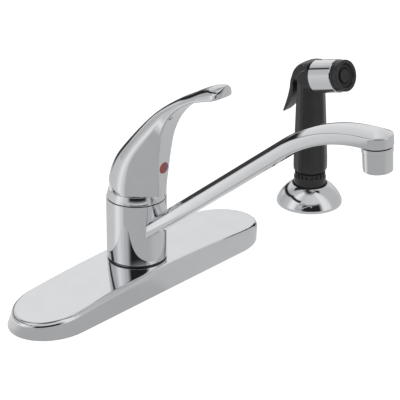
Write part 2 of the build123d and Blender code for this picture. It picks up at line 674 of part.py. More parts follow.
with BuildPart() as bonnet_cap:
    dome_start = sqrt(CAP_SPHERE**2 - (PIVOT_Z - CAP_SHOULDER_Z) ** 2)
    dome_end = PIVOT_Z + sqrt(CAP_SPHERE**2 - CAP_OPENING**2)
    inside = CAP_SPHERE - CAP_WALL
    shelf = CAP_SHOULDER_Z - CAP_SHELF
    foot_radius = HUB_RADIUS - CAP_INSET
    inside_start = sqrt(inside**2 - (PIVOT_Z - shelf) ** 2)
    inside_end = PIVOT_Z + sqrt(inside**2 - CAP_OPENING**2)
    with BuildSketch(Plane.XZ):
        with BuildLine():
            Polyline((BONNET_RADIUS + FIT, CAP_BOTTOM), (foot_radius, CAP_BOTTOM),
                     (foot_radius - CAP_SKIRT_TAPER, CAP_BOTTOM + CAP_SKIRT_HEIGHT),
                     (HUB_RADIUS - CAP_SHOULDER_INSET, CAP_SHOULDER_Z), (dome_start, CAP_SHOULDER_Z))
            RadiusArc((dome_start, CAP_SHOULDER_Z), (CAP_OPENING, dome_end), -CAP_SPHERE)
            Line((CAP_OPENING, dome_end), (CAP_OPENING, inside_end))
            RadiusArc((CAP_OPENING, inside_end), (inside_start, shelf), inside)
            Polyline((inside_start, shelf), (BONNET_RADIUS + CAP_NUT_ROOM - NUT_CHAMFER_RUN, shelf),
                     (BONNET_RADIUS + FIT, NUT_TOP + CAP_NUT_ROOM - NUT_CHAMFER_RISE),
                     (BONNET_RADIUS + FIT, CAP_BOTTOM))
        make_face()
    revolve(axis=Axis.Z)
save(bonnet_cap.part, "bonnet_cap")

with BuildPart() as cartridge_housing:
    collar, collar_top = COLLAR_BORE - COLLAR_CLEARANCE, BODY_TOP + COLLAR_RISE
    add(turned([(0, CARTRIDGE_BOTTOM), (CARTRIDGE_RADIUS, CARTRIDGE_BOTTOM), (CARTRIDGE_RADIUS, BODY_TOP),
                (collar, BODY_TOP), (collar, collar_top), (ROTOR_NECK + RUN, collar_top),
                (ROTOR_NECK + RUN, ROTOR_TOP + RUN), (HOUSING_BORE, ROTOR_TOP + RUN),
                (HOUSING_BORE, DISC_FLOOR), (0, DISC_FLOOR)]))
    with Locations(*[(x, y, CARTRIDGE_BOTTOM) for x, y in PORTS]):
        Cylinder(PORT_RADIUS, HOUSING_FLOOR, mode=Mode.SUBTRACT, align=UP)
        Cylinder(PORT_SEAL + FIT, PORT_SEAL_RECESS, mode=Mode.SUBTRACT, align=UP)
save(cartridge_housing.part, "cartridge_housing")

with BuildPart() as cartridge_seals:
    with BuildSketch(Plane.XY.offset(CAVITY_FLOOR)):
        with Locations(*PORTS):
            Circle(PORT_SEAL)
            Circle(PORT_RADIUS, mode=Mode.SUBTRACT)
    extrude(amount=CARTRIDGE_BOTTOM - CAVITY_FLOOR + PORT_SEAL_RECESS - FIT)
save(cartridge_seals.part, "cartridge_seals")

with BuildPart() as fixed_disc:
    with BuildSketch(Plane.XY.offset(DISC_FLOOR)):
        Circle(HOUSING_BORE - FIT)
        with Locations(*PORTS):
            Circle(PORT_RADIUS, mode=Mode.SUBTRACT)
    extrude(amount=FIXED_DISC_THICKNESS)
save(fixed_disc.part, "fixed_disc")

with BuildPart() as moving_disc:
    with BuildSketch(Plane.XY.offset(DISC_JOINT + DISC_GAP)):
        with Locations((0, DISC_REST)):
            Circle(MOVING_DISC)
    extrude(amount=MOVING_DISC_THICKNESS)
    # mixing pocket underneath
    with BuildSketch(Plane.XY.offset(DISC_JOINT + DISC_GAP)):
        with Locations((0, DISC_REST - POCKET_SHIFT)):
            Rectangle(POCKET_WIDTH, POCKET_LENGTH)
    extrude(amount=POCKET_DEPTH, mode=Mode.SUBTRACT)
save(moving_disc.part, "moving_disc")

with BuildPart() as disc_carrier:
    with BuildSketch(Plane.XY.offset(MOVING_TOP + DISC_GAP)):
        with Locations((0, DISC_REST)):
            Circle(MOVING_DISC)
    extrude(amount=CARRIER_THICKNESS)
    with BuildSketch(Plane.XY.offset(CARRIER_TOP)):
        Rectangle(2 * CARRIER_POST, 2 * CARRIER_POST_SLIM)
    extrude(amount=DRIVE_Z + POST_RISE - CARRIER_TOP)
    with BuildSketch(Plane.XY.offset(DRIVE_Z - POST_SLOT)):
        Rectangle(LEVER_WIDTH + 2 * POST_PLAY, 2 * (DRIVE_BALL + LEVER_PLAY))
    extrude(amount=POST_SLOT + POST_RISE + OVERCUT, mode=Mode.SUBTRACT)
save(disc_carrier.part, "disc_carrier")

with BuildPart() as cartridge_rotor:
    rotor_foot, rotor_head = CARRIER_TOP + ROTOR_GAP, PIVOT_Z + ROTOR_HEAD
    post_roof = DRIVE_Z + POST_RISE + POST_ROOM
    add(turned([(0, rotor_foot), (HOUSING_BORE - RUN, rotor_foot), (HOUSING_BORE - RUN, ROTOR_TOP),
                (ROTOR_NECK, ROTOR_TOP), (ROTOR_NECK, rotor_head), (0, rotor_head)]))
    # slot for the lever, open at the top
    with BuildSketch(Plane.XY.offset(post_roof - FIT)):
        Rectangle(LEVER_WIDTH + 2 * LEVER_PLAY, 2 * HOUSING_BORE)
    extrude(amount=rotor_head - post_roof + OVERCUT, mode=Mode.SUBTRACT)
    # room for the carrier's post over its whole slide
    with BuildSketch(Plane.XY.offset(CARRIER_TOP)):
        with Locations((0, -DISC_TRAVEL / 2)):
            Rectangle(2 * (CARRIER_POST + POST_PLAY), 2 * (CARRIER_POST + POST_PLAY) + DISC_TRAVEL)
    extrude(amount=post_roof - CARRIER_TOP, mode=Mode.SUBTRACT)
    with BuildSketch(Plane.YZ):
        with Locations((0, PIVOT_Z)):
            Circle(PIN_RADIUS + FIT)
    extrude(amount=ROTOR_NECK + OVERCUT, both=True, mode=Mode.SUBTRACT)
save(cartridge_rotor.part, "cartridge_rotor")

with BuildPart() as pivot_pin:
    with BuildSketch(Plane.YZ):
        with Locations((0, PIVOT_Z)):
            Circle(PIN_RADIUS)
    extrude(amount=ROTOR_NECK - PIN_INSET, both=True)
save(pivot_pin.part, "pivot_pin")

with BuildPart() as lever_stem:
    with BuildSketch(Plane.YZ):
        with Locations((0, PIVOT_Z)):
            Circle(LEVER_BOSS)
        with Locations((0, (PIVOT_Z + LEVER_TOP) / 2)):
            Rectangle(2 * LEVER_SHANK, LEVER_TOP - PIVOT_Z)
        with Locations((0, DRIVE_Z + DRIVE_DROP / 2)):
            Rectangle(LEVER_NECK, DRIVE_DROP)
        with Locations((0, PIVOT_Z)):
            Circle(PIN_RADIUS + RUN / 2, mode=Mode.SUBTRACT)
    extrude(amount=LEVER_WIDTH / 2, both=True)
    chamfer(lever_stem.faces().sort_by(Axis.Z)[-1].edges(), LEVER_POINT)
    with Locations((0, 0, DRIVE_Z)):
        Sphere(DRIVE_BALL)
save(lever_stem.part, "lever_stem")

# ---------------------------------------------------------------- handle
# plane of the index button, square to the leaning front face
below, beside, above = LEVER_STATIONS[1:4]
face_lean = (below[0] - above[0]) / (above[1] - below[1])
index_lead = -beside[0] + (INDEX_Z - beside[1]) * face_lean
index_plane = Plane(origin=(0, -index_lead, INDEX_Z), x_dir=(1, 0, 0), z_dir=(0, -1, -face_lean))


def tangent_points(half, radius, centre):
    """Where a line from (half, 0) touches a circle of this radius centred at (0, centre)."""
    span = hypot(half, centre)
    bearing = atan2(-centre, half) + acos(radius / span)
    return radius * cos(bearing), centre + radius * sin(bearing)


with BuildPart() as handle_blank:
    for front_y, front_z, back_y, back_z, half_face, crown in LEVER_STATIONS:
        depth = hypot(back_y - front_y, back_z - front_z)
        section = Plane(origin=(0, front_y, front_z), x_dir=(1, 0, 0),
                        z_dir=(0, -(back_z - front_z), back_y - front_y))
        if crown:
            side, level = tangent_points(half_face, crown, depth - crown)
        else:
            side, level = half_face - FACE_DRAFT, depth * SIDE_SHARE
        with BuildSketch(section):
            with BuildLine():
                Line((-half_face, 0), (half_face, 0))
                Line((half_face, 0), (side, level))
                ThreePointArc((side, level), (0, depth), (-side, level))
                Line((-side, level), (-half_face, 0))
            make_face()
    loft()

with BuildPart() as handle:
    add(handle_blank.part)
    # rounded paddle end, its wall leaning out a little towards the top
    with BuildSketch(Plane(origin=(0, PADDLE_END_Y, PADDLE_Z), x_dir=(1, 0, 0), z_dir=(0, -PADDLE_LEAN, 1))):
        with BuildLine():
            Polyline((PADDLE_HALF, 0), (CLEAR, 0), (CLEAR, CLEAR), (-CLEAR, CLEAR), (-CLEAR, 0),
                     (-PADDLE_HALF, 0))
            EllipticalCenterArc((0, 0), PADDLE_HALF, PADDLE_REACH, start_angle=180, arc_size=180)
        make_face()
    extrude(amount=CLEAR, both=True, mode=Mode.INTERSECT)
    # skirt rim: level at the front, climbing towards the back
    with BuildSketch(Plane.YZ):
        with BuildLine():
            Polyline((-CLEAR, RIM_Z), (RIM_BREAK_Y, RIM_Z), (CLEAR, RIM_Z + (CLEAR - RIM_BREAK_Y) * RIM_RISE),
                     (CLEAR, HUB_TOP), (-CLEAR, HUB_TOP), close=True)
        make_face()
    extrude(amount=CLEAR, both=True, mode=Mode.SUBTRACT)
    # hollow that rides over the cap's ball
    with Locations((0, 0, PIVOT_Z)):
        Sphere(CAP_SPHERE + DOME_GAP, mode=Mode.SUBTRACT)
        Cylinder(CAP_SPHERE + DOME_GAP, PIVOT_Z - HUB_TOP, mode=Mode.SUBTRACT, align=DOWN)
    # socket for the lever stem
    with BuildSketch(Plane.XY.offset(SOCKET_BOTTOM)):
        Rectangle(LEVER_WIDTH + 2 * FIT, 2 * (LEVER_SHANK + FIT))
    extrude(amount=LEVER_TOP + FIT - SOCKET_BOTTOM, mode=Mode.SUBTRACT)
    # set screw hole and the recess of the index button
    with BuildSketch(index_plane):
        Circle(SET_SCREW_RADIUS + FIT)
    extrude(amount=LEVER_SHANK - index_lead, mode=Mode.SUBTRACT)
    with BuildSketch(index_plane.offset(INDEX_DEPTH)):
        Circle(INDEX_RADIUS + FIT)
    extrude(amount=-2 * INDEX_DEPTH, mode=Mode.SUBTRACT)
save(handle.part, "handle")

with BuildPart() as index_button:
    with BuildSketch(index_plane.offset(-INDEX_DEPTH)):
        Circle(INDEX_RADIUS)
    extrude(amount=INDEX_DEPTH + INDEX_PROUD)
    fillet(index_button.faces().sort_by(Axis.Y)[0].edges(), INDEX_EDGE)
save(index_button.part, "index_button")

with BuildPart() as set_screw:
    with BuildSketch(index_plane.offset(LEVER_SHANK + SET_SCREW_GAP - index_lead)):
        Circle(SET_SCREW_RADIUS)
        RegularPolygon(SET_SCREW_SOCKET, 6, mode=Mode.SUBTRACT)
    extrude(amount=SET_SCREW_LENGTH)
save(set_screw.part, "set_screw")

# ---------------------------------------------------------------- spout
slope, end_slope = radians(SPOUT_SLOPE), radians(SPOUT_END_SLOPE)
turn_y = SPOUT_REACH - SPOUT_END_RUN
bend_y = turn_y - SPOUT_BEND_RADIUS * (sin(slope) - sin(end_slope))
bend_z = SPOUT_HUB_Z + bend_y * tan(slope)
turn_z = bend_z - SPOUT_BEND_RADIUS * (cos(slope) - cos(end_slope))
end_z = turn_z + SPOUT_END_RUN * tan(end_slope)
end_plane = Plane(origin=(0, -SPOUT_REACH, end_z), x_dir=(1, 0, 0),
                  z_dir=(0, -cos(end_slope), sin(end_slope)))
keel = SPOUT_HALF_WIDTH - SPOUT_KEEL_INSET
side_low, side_high = -SPOUT_SIDE / 2, SPOUT_SIDE / 2
underside = side_low - SPOUT_KEEL
crown_radius = (SPOUT_HALF_WIDTH**2 + SPOUT_CROWN**2) / (2 * SPOUT_CROWN)
crown_mid = side_high + SPOUT_CROWN - crown_radius + sqrt(crown_radius**2 - (SPOUT_HALF_WIDTH / 2) ** 2)
nipple_plane = Plane(origin=end_plane.origin + end_plane.y_dir * underside, x_dir=(1, 0, 0),
                     z_dir=end_plane.y_dir * -1)


def spout_path(first):
    """Centre line of the arm in the YZ plane from this distance off the hub axis."""
    with BuildLine(Plane.YZ) as path:
        Line((-first, SPOUT_HUB_Z + first * tan(slope)), (-bend_y, bend_z))
        RadiusArc((-bend_y, bend_z), (-turn_y, turn_z), -SPOUT_BEND_RADIUS)
        Line((-turn_y, turn_z), (-SPOUT_REACH, end_z))
    return path.line


def arm_plane(first):
    """Plane across the straight arm at this distance off the hub axis."""
    return Plane(origin=(0, -first, SPOUT_HUB_Z + first * tan(slope)), x_dir=(1, 0, 0),
                 z_dir=(0, -cos(slope), sin(slope)))


with BuildPart() as spout:
    with BuildSketch(arm_plane(0)):
        with BuildLine():
            Polyline((SPOUT_HALF_WIDTH, side_high), (SPOUT_HALF_WIDTH, side_low), (keel, underside),
                     (-keel, underside), (-SPOUT_HALF_WIDTH, side_low), (-SPOUT_HALF_WIDTH, side_high))
            ThreePointArc((-SPOUT_HALF_WIDTH, side_high), (0, side_high + SPOUT_CROWN),
                          (SPOUT_HALF_WIDTH, side_high))
        make_face()
    sweep(path=spout_path(0))
    with BuildSketch(end_plane):
        with BuildLine():
            Polyline((0, underside), (keel, underside), (SPOUT_HALF_WIDTH, side_low),
                     (SPOUT_HALF_WIDTH, side_high))
            ThreePointArc((SPOUT_HALF_WIDTH, side_high), (SPOUT_HALF_WIDTH / 2, crown_mid),
                          (0, side_high + SPOUT_CROWN))
            Line((0, side_high + SPOUT_CROWN), (0, underside))
        make_face()
    revolve(axis=Axis(end_plane.origin, end_plane.y_dir))
    add(ring(HUB_RADIUS, BODY_RADIUS / 2, HUB_BOTTOM, HUB_TOP))
    with BuildSketch(nipple_plane.offset(-OVERCUT)):
        Circle(NIPPLE_RADIUS)
    extrude(amount=NIPPLE_LENGTH + OVERCUT)
    # bearing bore, the wider bore above it for the bonnet nut, and the waterway
    with Locations((0, 0, HUB_BOTTOM)):
        Cylinder(BODY_RADIUS + SWIVEL_CLEARANCE, HUB_TOP - HUB_BOTTOM, mode=Mode.SUBTRACT,
                 align=UP)
    with Locations((0, 0, HUB_TOP)):
        Cylinder(BONNET_RADIUS + BONNET_ROOM, HUB_TOP - BODY_SHOULDER - SHOULDER_GAP, mode=Mode.SUBTRACT,
                 align=DOWN)
    with BuildSketch(arm_plane(BODY_RADIUS - WATERWAY_LEAD)):
        Circle(WATERWAY)
    sweep(path=spout_path(BODY_RADIUS - WATERWAY_LEAD), mode=Mode.SUBTRACT)
    with BuildSketch(nipple_plane.offset(NIPPLE_LENGTH)):
        Circle(WATERWAY)
    extrude(amount=underside - NIPPLE_LENGTH, mode=Mode.SUBTRACT)
    with Locations(end_plane):
        Sphere(WATERWAY, mode=Mode.SUBTRACT)
save(spout.part, "spout")

# ---------------------------------------------------------------- aerator, turned about the nipple
# heights run down from the nipple's root, so they grow along the nipple plane's normal
nipple_end = NIPPLE_LENGTH + FIT
insert_start = nipple_end + WASHER_SECTION
insert_end = AERATOR_HEIGHT - AERATOR_LIP
aerator_place = nipple_plane.location
save(turned([(NIPPLE_RADIUS + FIT, 0), (AERATOR_TOP_RADIUS, 0), (AERATOR_TOP_RADIUS, AERATOR_BAND),
             (AERATOR_TOP_RADIUS - AERATOR_STEP, AERATOR_BAND + AERATOR_STEP),
             (AERATOR_BOTTOM_RADIUS, AERATOR_HEIGHT - AERATOR_EDGE),
             (AERATOR_BOTTOM_RADIUS - AERATOR_EDGE, AERATOR_HEIGHT), (AERATOR_MOUTH, AERATOR_HEIGHT),
             (AERATOR_MOUTH, insert_end), (NIPPLE_RADIUS + FIT, insert_end)]).moved(aerator_place),
     "aerator_shell")
save(ring(NIPPLE_RADIUS, WATERWAY, nipple_end, insert_start).moved(aerator_place), "aerator_washer")
with BuildPart() as aerator_insert:
    rim = NIPPLE_RADIUS - INSERT_RIM
    add(turned([(0, insert_start + INSERT_DISH), (rim, insert_start), (NIPPLE_RADIUS, insert_start),
                (NIPPLE_RADIUS, insert_end), (rim, insert_end), (rim, insert_end - INSERT_RECESS),
                (0, insert_end - INSERT_RECESS)]))
    with BuildSketch(Plane.XY.offset(nipple_end)):
        Circle(JET_RADIUS)
        for pitch, count in JET_RINGS:
            with PolarLocations(pitch, count):
                Circle(JET_RADIUS)
    extrude(amount=AERATOR_HEIGHT, mode=Mode.SUBTRACT)
save(aerator_insert.part.moved(aerator_place), "aerator_insert")

# ---------------------------------------------------------------- side spray holder
# built about its own upright axis, then set at its hole
spray_place = Location((SPRAY_X, SPRAY_Y, 0))
with BuildPart() as spray_flange:
    slant = radians(FLANGE_MIDDLE_SLANT)
    with BuildSketch(Plane.XZ):
        with BuildLine():
            Line((FLANGE_RADIUS - FLANGE_WALL, 0), (FLANGE_RADIUS, 0))
            Line((FLANGE_RADIUS, 0), (FLANGE_RADIUS, FLANGE_LIP))
            ThreePointArc((FLANGE_RADIUS, FLANGE_LIP), FLANGE_MIDDLE, (FLANGE_OPENING, FLANGE_HEIGHT))
            Line((FLANGE_OPENING, FLANGE_HEIGHT), (FLANGE_OPENING, FLANGE_HEIGHT - FLANGE_WALL))
            ThreePointArc((FLANGE_OPENING, FLANGE_HEIGHT - FLANGE_WALL),
                          (FLANGE_MIDDLE[0] - FLANGE_WALL * cos(slant),
                           FLANGE_MIDDLE[1] - FLANGE_WALL * sin(slant)),
                          (FLANGE_RADIUS - FLANGE_WALL, FLANGE_LIP))
            Line((FLANGE_RADIUS - FLANGE_WALL, FLANGE_LIP), (FLANGE_RADIUS - FLANGE_WALL, 0))
        make_face()
    revolve(axis=Axis.Z)
save(spray_flange.part.moved(spray_place), "spray_flange")

with BuildPart() as spray_support:
    seat = FLANGE_HEIGHT - FLANGE_WALL - SEAT_GAP
    seat_radius = FLANGE_OPENING + SEAT_MARGIN
    add(turned([(HOSE_WAY, -SHANK_DROP), (SHANK_RADIUS, -SHANK_DROP), (SHANK_RADIUS, 0),
                (SUPPORT_FLANGE, 0), (SUPPORT_FLANGE, SUPPORT_RIM), (seat_radius, SUPPORT_ROOT),
                (seat_radius, seat), (COLLAR_RADIUS, seat), (COLLAR_RADIUS, COLLAR_TOP - COLLAR_EDGE),
                (COLLAR_RADIUS - COLLAR_EDGE, COLLAR_TOP), (HOLDER_BORE, COLLAR_TOP),
                (HOLDER_BORE, HOLDER_FLOOR), (HOSE_WAY, HOLDER_FLOOR)]))
save(spray_support.part.moved(spray_place), "spray_support")

with BuildPart() as spray_locknut:
    with BuildSketch(Plane.XY.offset(-DECK_GRIP)):
        Circle(SHANK_RADIUS + LOCKNUT_HUB)
        with PolarLocations(0, 4):
            Rectangle(2 * SUPPORT_FLANGE, LOCKNUT_WING)
        Circle(SHANK_RADIUS + FIT, mode=Mode.SUBTRACT)
    extrude(amount=-LOCKNUT_HEIGHT)
save(spray_locknut.part.moved(spray_place), "spray_locknut")

# ---------------------------------------------------------------- spray hand piece
tilt = radians(HEAD_TILT)
stem_pad = TRIGGER_INNER[3][0]  # where the trigger meets the push stem
barrel_place = Location(Plane(origin=(0, -HEAD_LEAD, HEAD_Z), x_dir=(1, 0, 0),
                              z_dir=(0, -cos(tilt), sin(tilt))))


def trigger_blank(angle, grow):
    """The trigger's side outline turned about its pin, as a slab across the head."""
    with BuildPart() as made:
        with BuildSketch(Plane.YZ):
            with BuildLine():
                Polyline(*TRIGGER_OUTER, *TRIGGER_INNER, close=True)
            make_face()
            with Locations((TRIGGER_PIN_Y, TRIGGER_PIN_Z)):
                Circle(TRIGGER_HUB)
            if grow:
                offset(amount=grow, kind=Kind.INTERSECTION)
        extrude(amount=TRIGGER_WIDTH / 2 + grow, both=True)
    return made.part.rotate(Axis((0, TRIGGER_PIN_Y, TRIGGER_PIN_Z), (-1, 0, 0)), angle)


with BuildPart() as spray_handpiece:
    for height, radius, lean in GRIP_STATIONS:
        with BuildSketch(Plane.XY.offset(height)) as grip_section:
            with Locations((0, lean)):
                RegularPolygon(radius, 8)
            fillet(grip_section.vertices(), GRIP_CORNER)
    loft()
    # toothed ring and spigot below the grip
    with BuildSketch(Plane.XY.offset(COLLAR_TOP)):
        Circle(TOOTH_ROOT)
        with PolarLocations(TOOTH_ROOT, TOOTH_COUNT):
            Rectangle(2 * TOOTH_DEPTH, TOOTH_WIDTH)
    extrude(amount=GRIP_BOTTOM - COLLAR_TOP)
    with Locations((0, 0, SPIGOT_BOTTOM)):
        Cylinder(HOLDER_BORE - SPIGOT_CLEARANCE, COLLAR_TOP - SPIGOT_BOTTOM, align=UP)
    # barrel, its closed back end rounded over
    add(turned([(0, -BARREL_BACK), (HEAD_RADIUS - BARREL_ROUND, -BARREL_BACK),
                (HEAD_RADIUS, BARREL_ROUND - BARREL_BACK), (HEAD_RADIUS, BARREL_FRONT),
                (0, BARREL_FRONT)]).moved(barrel_place))
    # ears that carry the trigger pin
    with BuildSketch(Plane.YZ):
        with Locations((TRIGGER_PIN_Y, TRIGGER_PIN_Z)):
            Circle(EAR_RADIUS)
        with Locations((TRIGGER_PIN_Y, TRIGGER_PIN_Z - EAR_DROP / 2)):
            Rectangle(2 * EAR_RADIUS, EAR_DROP)
    extrude(amount=TRIGGER_WIDTH / 2 + EAR_WIDTH, both=True)
    # room for the trigger over its whole stroke
    for share in (0.0, 0.5, 1.0):
        add(trigger_blank(share * TRIGGER_ANGLE, TRIGGER_ROOM), mode=Mode.SUBTRACT)
    # waterway: up the grip, across the valve, out through the barrel
    way_top = STEM_Z - VALVE_INLET_DROP
    with Locations((0, 0, SPIGOT_BOTTOM)):
        Cylinder(GRIP_WAY, HOSE_SOCKET, mode=Mode.SUBTRACT, align=UP)
        Cylinder(GRIP_WAY - GRIP_WAY_STEP, way_top - SPIGOT_BOTTOM, mode=Mode.SUBTRACT, align=UP)
    with Locations((0, 0, way_top - OVERCUT)):
        Cylinder(VALVE_INLET, VALVE_INLET_DROP, mode=Mode.SUBTRACT, align=UP)
    with BuildSketch(Plane.XZ.offset(-SEAT_LENGTH)):
        with Locations((0, STEM_Z)):
            Circle(VALVE_CHAMBER)
    extrude(amount=SEAT_LENGTH + CHAMBER_FRONT, mode=Mode.SUBTRACT)
    with Locations((0, VALVE_OUTLET + VALVE_OUTLET_INSET - CHAMBER_FRONT, STEM_Z)):
        Cylinder(VALVE_OUTLET, HEAD_Z - STEM_Z, mode=Mode.SUBTRACT, align=UP)
    with BuildSketch(Plane.XZ.offset(-stem_pad)):
        with Locations((0, STEM_Z)):
            Circle(STEM_RADIUS + RUN)
    extrude(amount=stem_pad, mode=Mode.SUBTRACT)
    add(turned([(0, BARREL_FLOOR), (BARREL_BORE, BARREL_FLOOR), (BARREL_BORE, BARREL_FRONT + OVERCUT),
                (0, BARREL_FRONT + OVERCUT)]).moved(barrel_place), mode=Mode.SUBTRACT)
    with BuildSketch(Plane.YZ):
        with Locations((TRIGGER_PIN_Y, TRIGGER_PIN_Z)):
            Circle(SPRAY_PIN_RADIUS + FIT)
    extrude(amount=TRIGGER_WIDTH, both=True, mode=Mode.SUBTRACT)
save(spray_handpiece.part.moved(spray_place), "spray_handpiece")

band_end = BAND_START + BAND_LENGTH
save(turned([(HEAD_RADIUS + FIT, BAND_START), (BAND_RADIUS - BAND_EDGE, BAND_START),
             (BAND_RADIUS, BAND_START + BAND_EDGE), (BAND_RADIUS, band_end - BAND_EDGE),
             (BAND_RADIUS - BAND_EDGE, band_end), (HEAD_RADIUS + FIT, band_end)]
            ).moved(barrel_place).moved(spray_place), "head_band")
face_back = BARREL_FRONT + NOZZLE_STEP
save(turned([(BARREL_BORE, BARREL_FRONT), (HEAD_RADIUS, BARREL_FRONT),
             (HEAD_RADIUS, HEAD_FRONT - NOZZLE_EDGE),
             (HEAD_RADIUS - NOZZLE_EDGE, HEAD_FRONT), (SPRAY_FACE_RADIUS + FIT, HEAD_FRONT),
             (SPRAY_FACE_RADIUS + FIT, face_back), (BARREL_BORE, face_back)]
            ).moved(barrel_place).moved(spray_place), "nozzle_ring")
with BuildPart() as spray_face:
    face_front, dish = HEAD_FRONT - FACE_INSET, SPRAY_FACE_RADIUS - FACE_RIM
    add(turned([(0, face_back), (SPRAY_FACE_RADIUS, face_back), (SPRAY_FACE_RADIUS, face_front),
                (dish, face_front), (dish - FACE_DISH, face_front - FACE_DISH),
                (0, face_front - FACE_DISH / 2)]))
    with BuildSketch(Plane.XY.offset(face_back)):
        Circle(SPRAY_JET)
        for pitch, count in SPRAY_RINGS:
            with PolarLocations(pitch, count):
                Circle(SPRAY_JET)
    extrude(amount=HEAD_FRONT, mode=Mode.SUBTRACT)
save(spray_face.part.moved(barrel_place).moved(spray_place), "spray_face")

# brass connector under the grip, its seal, and the spray valve
save(turned([(CONNECTOR_WAY, CONNECTOR_BOTTOM), (CONNECTOR_THREAD, CONNECTOR_BOTTOM),
             (CONNECTOR_THREAD, CONNECTOR_BOTTOM + CONNECTOR_THREAD_LENGTH),
             (CONNECTOR_FLANGE, CONNECTOR_BOTTOM + CONNECTOR_THREAD_LENGTH),
             (CONNECTOR_FLANGE, SPIGOT_BOTTOM - SEAL_SHEET), (GRIP_WAY - FIT, SPIGOT_BOTTOM - SEAL_SHEET),
             (GRIP_WAY - FIT, SPIGOT_BOTTOM + HOSE_SOCKET - CONNECTOR_GAP),
             (CONNECTOR_WAY, SPIGOT_BOTTOM + HOSE_SOCKET - CONNECTOR_GAP)]).moved(spray_place),
     "hose_connector")
save(ring(CONNECTOR_FLANGE, GRIP_WAY, SPIGOT_BOTTOM - SEAL_SHEET, SPIGOT_BOTTOM).moved(spray_place),
     "connector_washer")

stem_place = Location(Plane(origin=(0, 0, STEM_Z), x_dir=(1, 0, 0), z_dir=(0, 1, 0)))
save(ring(VALVE_CHAMBER - FIT / 2, STEM_RADIUS + SEAT_PLAY, 0, SEAT_LENGTH)
     .moved(stem_place).moved(spray_place),
     "spray_valve_seat")
stem_end = stem_pad - STEM_GAP
head_start = -STEM_HEAD_GAP - STEM_HEAD_LENGTH
save(turned([(0, head_start), (STEM_HEAD - STEM_EDGE, head_start), (STEM_HEAD, head_start + STEM_EDGE),
             (STEM_HEAD, -STEM_HEAD_GAP), (STEM_RADIUS, 0), (STEM_RADIUS, stem_end - STEM_EDGE),
             (STEM_RADIUS - STEM_EDGE, stem_end), (0, stem_end)]
            ).moved(stem_place).moved(spray_place), "spray_valve_stem")

with BuildPart() as trigger:
    add(trigger_blank(0, 0))
    # tail narrows to a rounded tip
    with BuildSketch(Plane.XZ):
        with BuildLine():
            wide, slim = TRIGGER_WIDTH / 2, TRIGGER_TIP / 2
            Polyline((slim, TAIL_Z + slim), (wide, TAIL_Z + TAIL_TAPER), (wide, TAIL_Z + CLEAR),
                     (-wide, TAIL_Z + CLEAR), (-wide, TAIL_Z + TAIL_TAPER), (-slim, TAIL_Z + slim))
            ThreePointArc((-slim, TAIL_Z + slim), (0, TAIL_Z), (slim, TAIL_Z + slim))
        make_face()
    extrude(amount=CLEAR, both=True, mode=Mode.INTERSECT)
    # hollow of the tail's inner side
    with BuildSketch(Plane.YZ):
        with BuildLine():
            Polyline(*[(y + TAIL_HOLLOW, z) for y, z in TRIGGER_INNER[1:4]], (0, TRIGGER_INNER[3][1]),
                     (0, TRIGGER_INNER[1][1]), close=True)
        make_face()
    extrude(amount=TRIGGER_TIP / 2 - TAIL_RIM, both=True, mode=Mode.SUBTRACT)
    with BuildSketch(Plane.YZ):
        with Locations((TRIGGER_PIN_Y, TRIGGER_PIN_Z)):
            Circle(SPRAY_PIN_RADIUS + RUN / 2)
    extrude(amount=TRIGGER_WIDTH, both=True, mode=Mode.SUBTRACT)
save(trigger.part.moved(spray_place), "trigger")

with BuildPart() as trigger_pin:
    with BuildSketch(Plane.YZ):
        with Locations((TRIGGER_PIN_Y, TRIGGER_PIN_Z)):
            Circle(SPRAY_PIN_RADIUS)
    extrude(amount=TRIGGER_WIDTH / 2 + EAR_WIDTH, both=True)
save(trigger_pin.part.moved(spray_place), "trigger_pin")
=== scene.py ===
"""Studio scene for a single-handle kitchen faucet with a swivel spout and a side spray.

The scene is in metres in the CAD frame: the origin is the valve body's centre on the deck, +Z is
up, +X runs along the deck plate towards the spray, and the spout and handle point to -Y.
"""
import json
from math import acos, atan2, cos, hypot, pi, radians, sin, sqrt, tan

import bmesh
import bpy
import numpy as np
from mathutils import Matrix, Vector


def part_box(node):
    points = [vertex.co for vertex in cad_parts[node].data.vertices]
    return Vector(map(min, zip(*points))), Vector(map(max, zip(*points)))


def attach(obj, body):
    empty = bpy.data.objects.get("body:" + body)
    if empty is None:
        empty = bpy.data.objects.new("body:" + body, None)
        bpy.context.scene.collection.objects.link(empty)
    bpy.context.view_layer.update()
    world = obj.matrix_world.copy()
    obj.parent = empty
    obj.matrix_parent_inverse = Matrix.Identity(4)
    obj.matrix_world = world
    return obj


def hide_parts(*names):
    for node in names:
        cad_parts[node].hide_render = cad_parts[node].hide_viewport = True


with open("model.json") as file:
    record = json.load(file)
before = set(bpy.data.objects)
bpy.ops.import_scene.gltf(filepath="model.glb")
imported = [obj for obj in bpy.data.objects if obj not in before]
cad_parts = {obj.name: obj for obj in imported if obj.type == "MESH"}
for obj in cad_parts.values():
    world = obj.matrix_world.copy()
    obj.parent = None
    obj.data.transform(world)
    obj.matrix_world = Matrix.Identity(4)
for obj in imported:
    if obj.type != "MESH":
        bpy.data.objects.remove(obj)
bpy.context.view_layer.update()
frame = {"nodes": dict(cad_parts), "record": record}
MM = 0.001
FULL_TURN = 2 * pi

# ---------------------------------------------------------------- node helpers


def material(name):
    """A new material with a bare Principled shader; returns it with its node tree and shader."""
    made = bpy.data.materials.new(name)
    made.use_nodes = True
    tree = made.node_tree
    tree.nodes.clear()
    out = tree.nodes.new("ShaderNodeOutputMaterial")
    shader = tree.nodes.new("ShaderNodeBsdfPrincipled")
    tree.links.new(shader.outputs["BSDF"], out.inputs["Surface"])
    return made, tree, shader


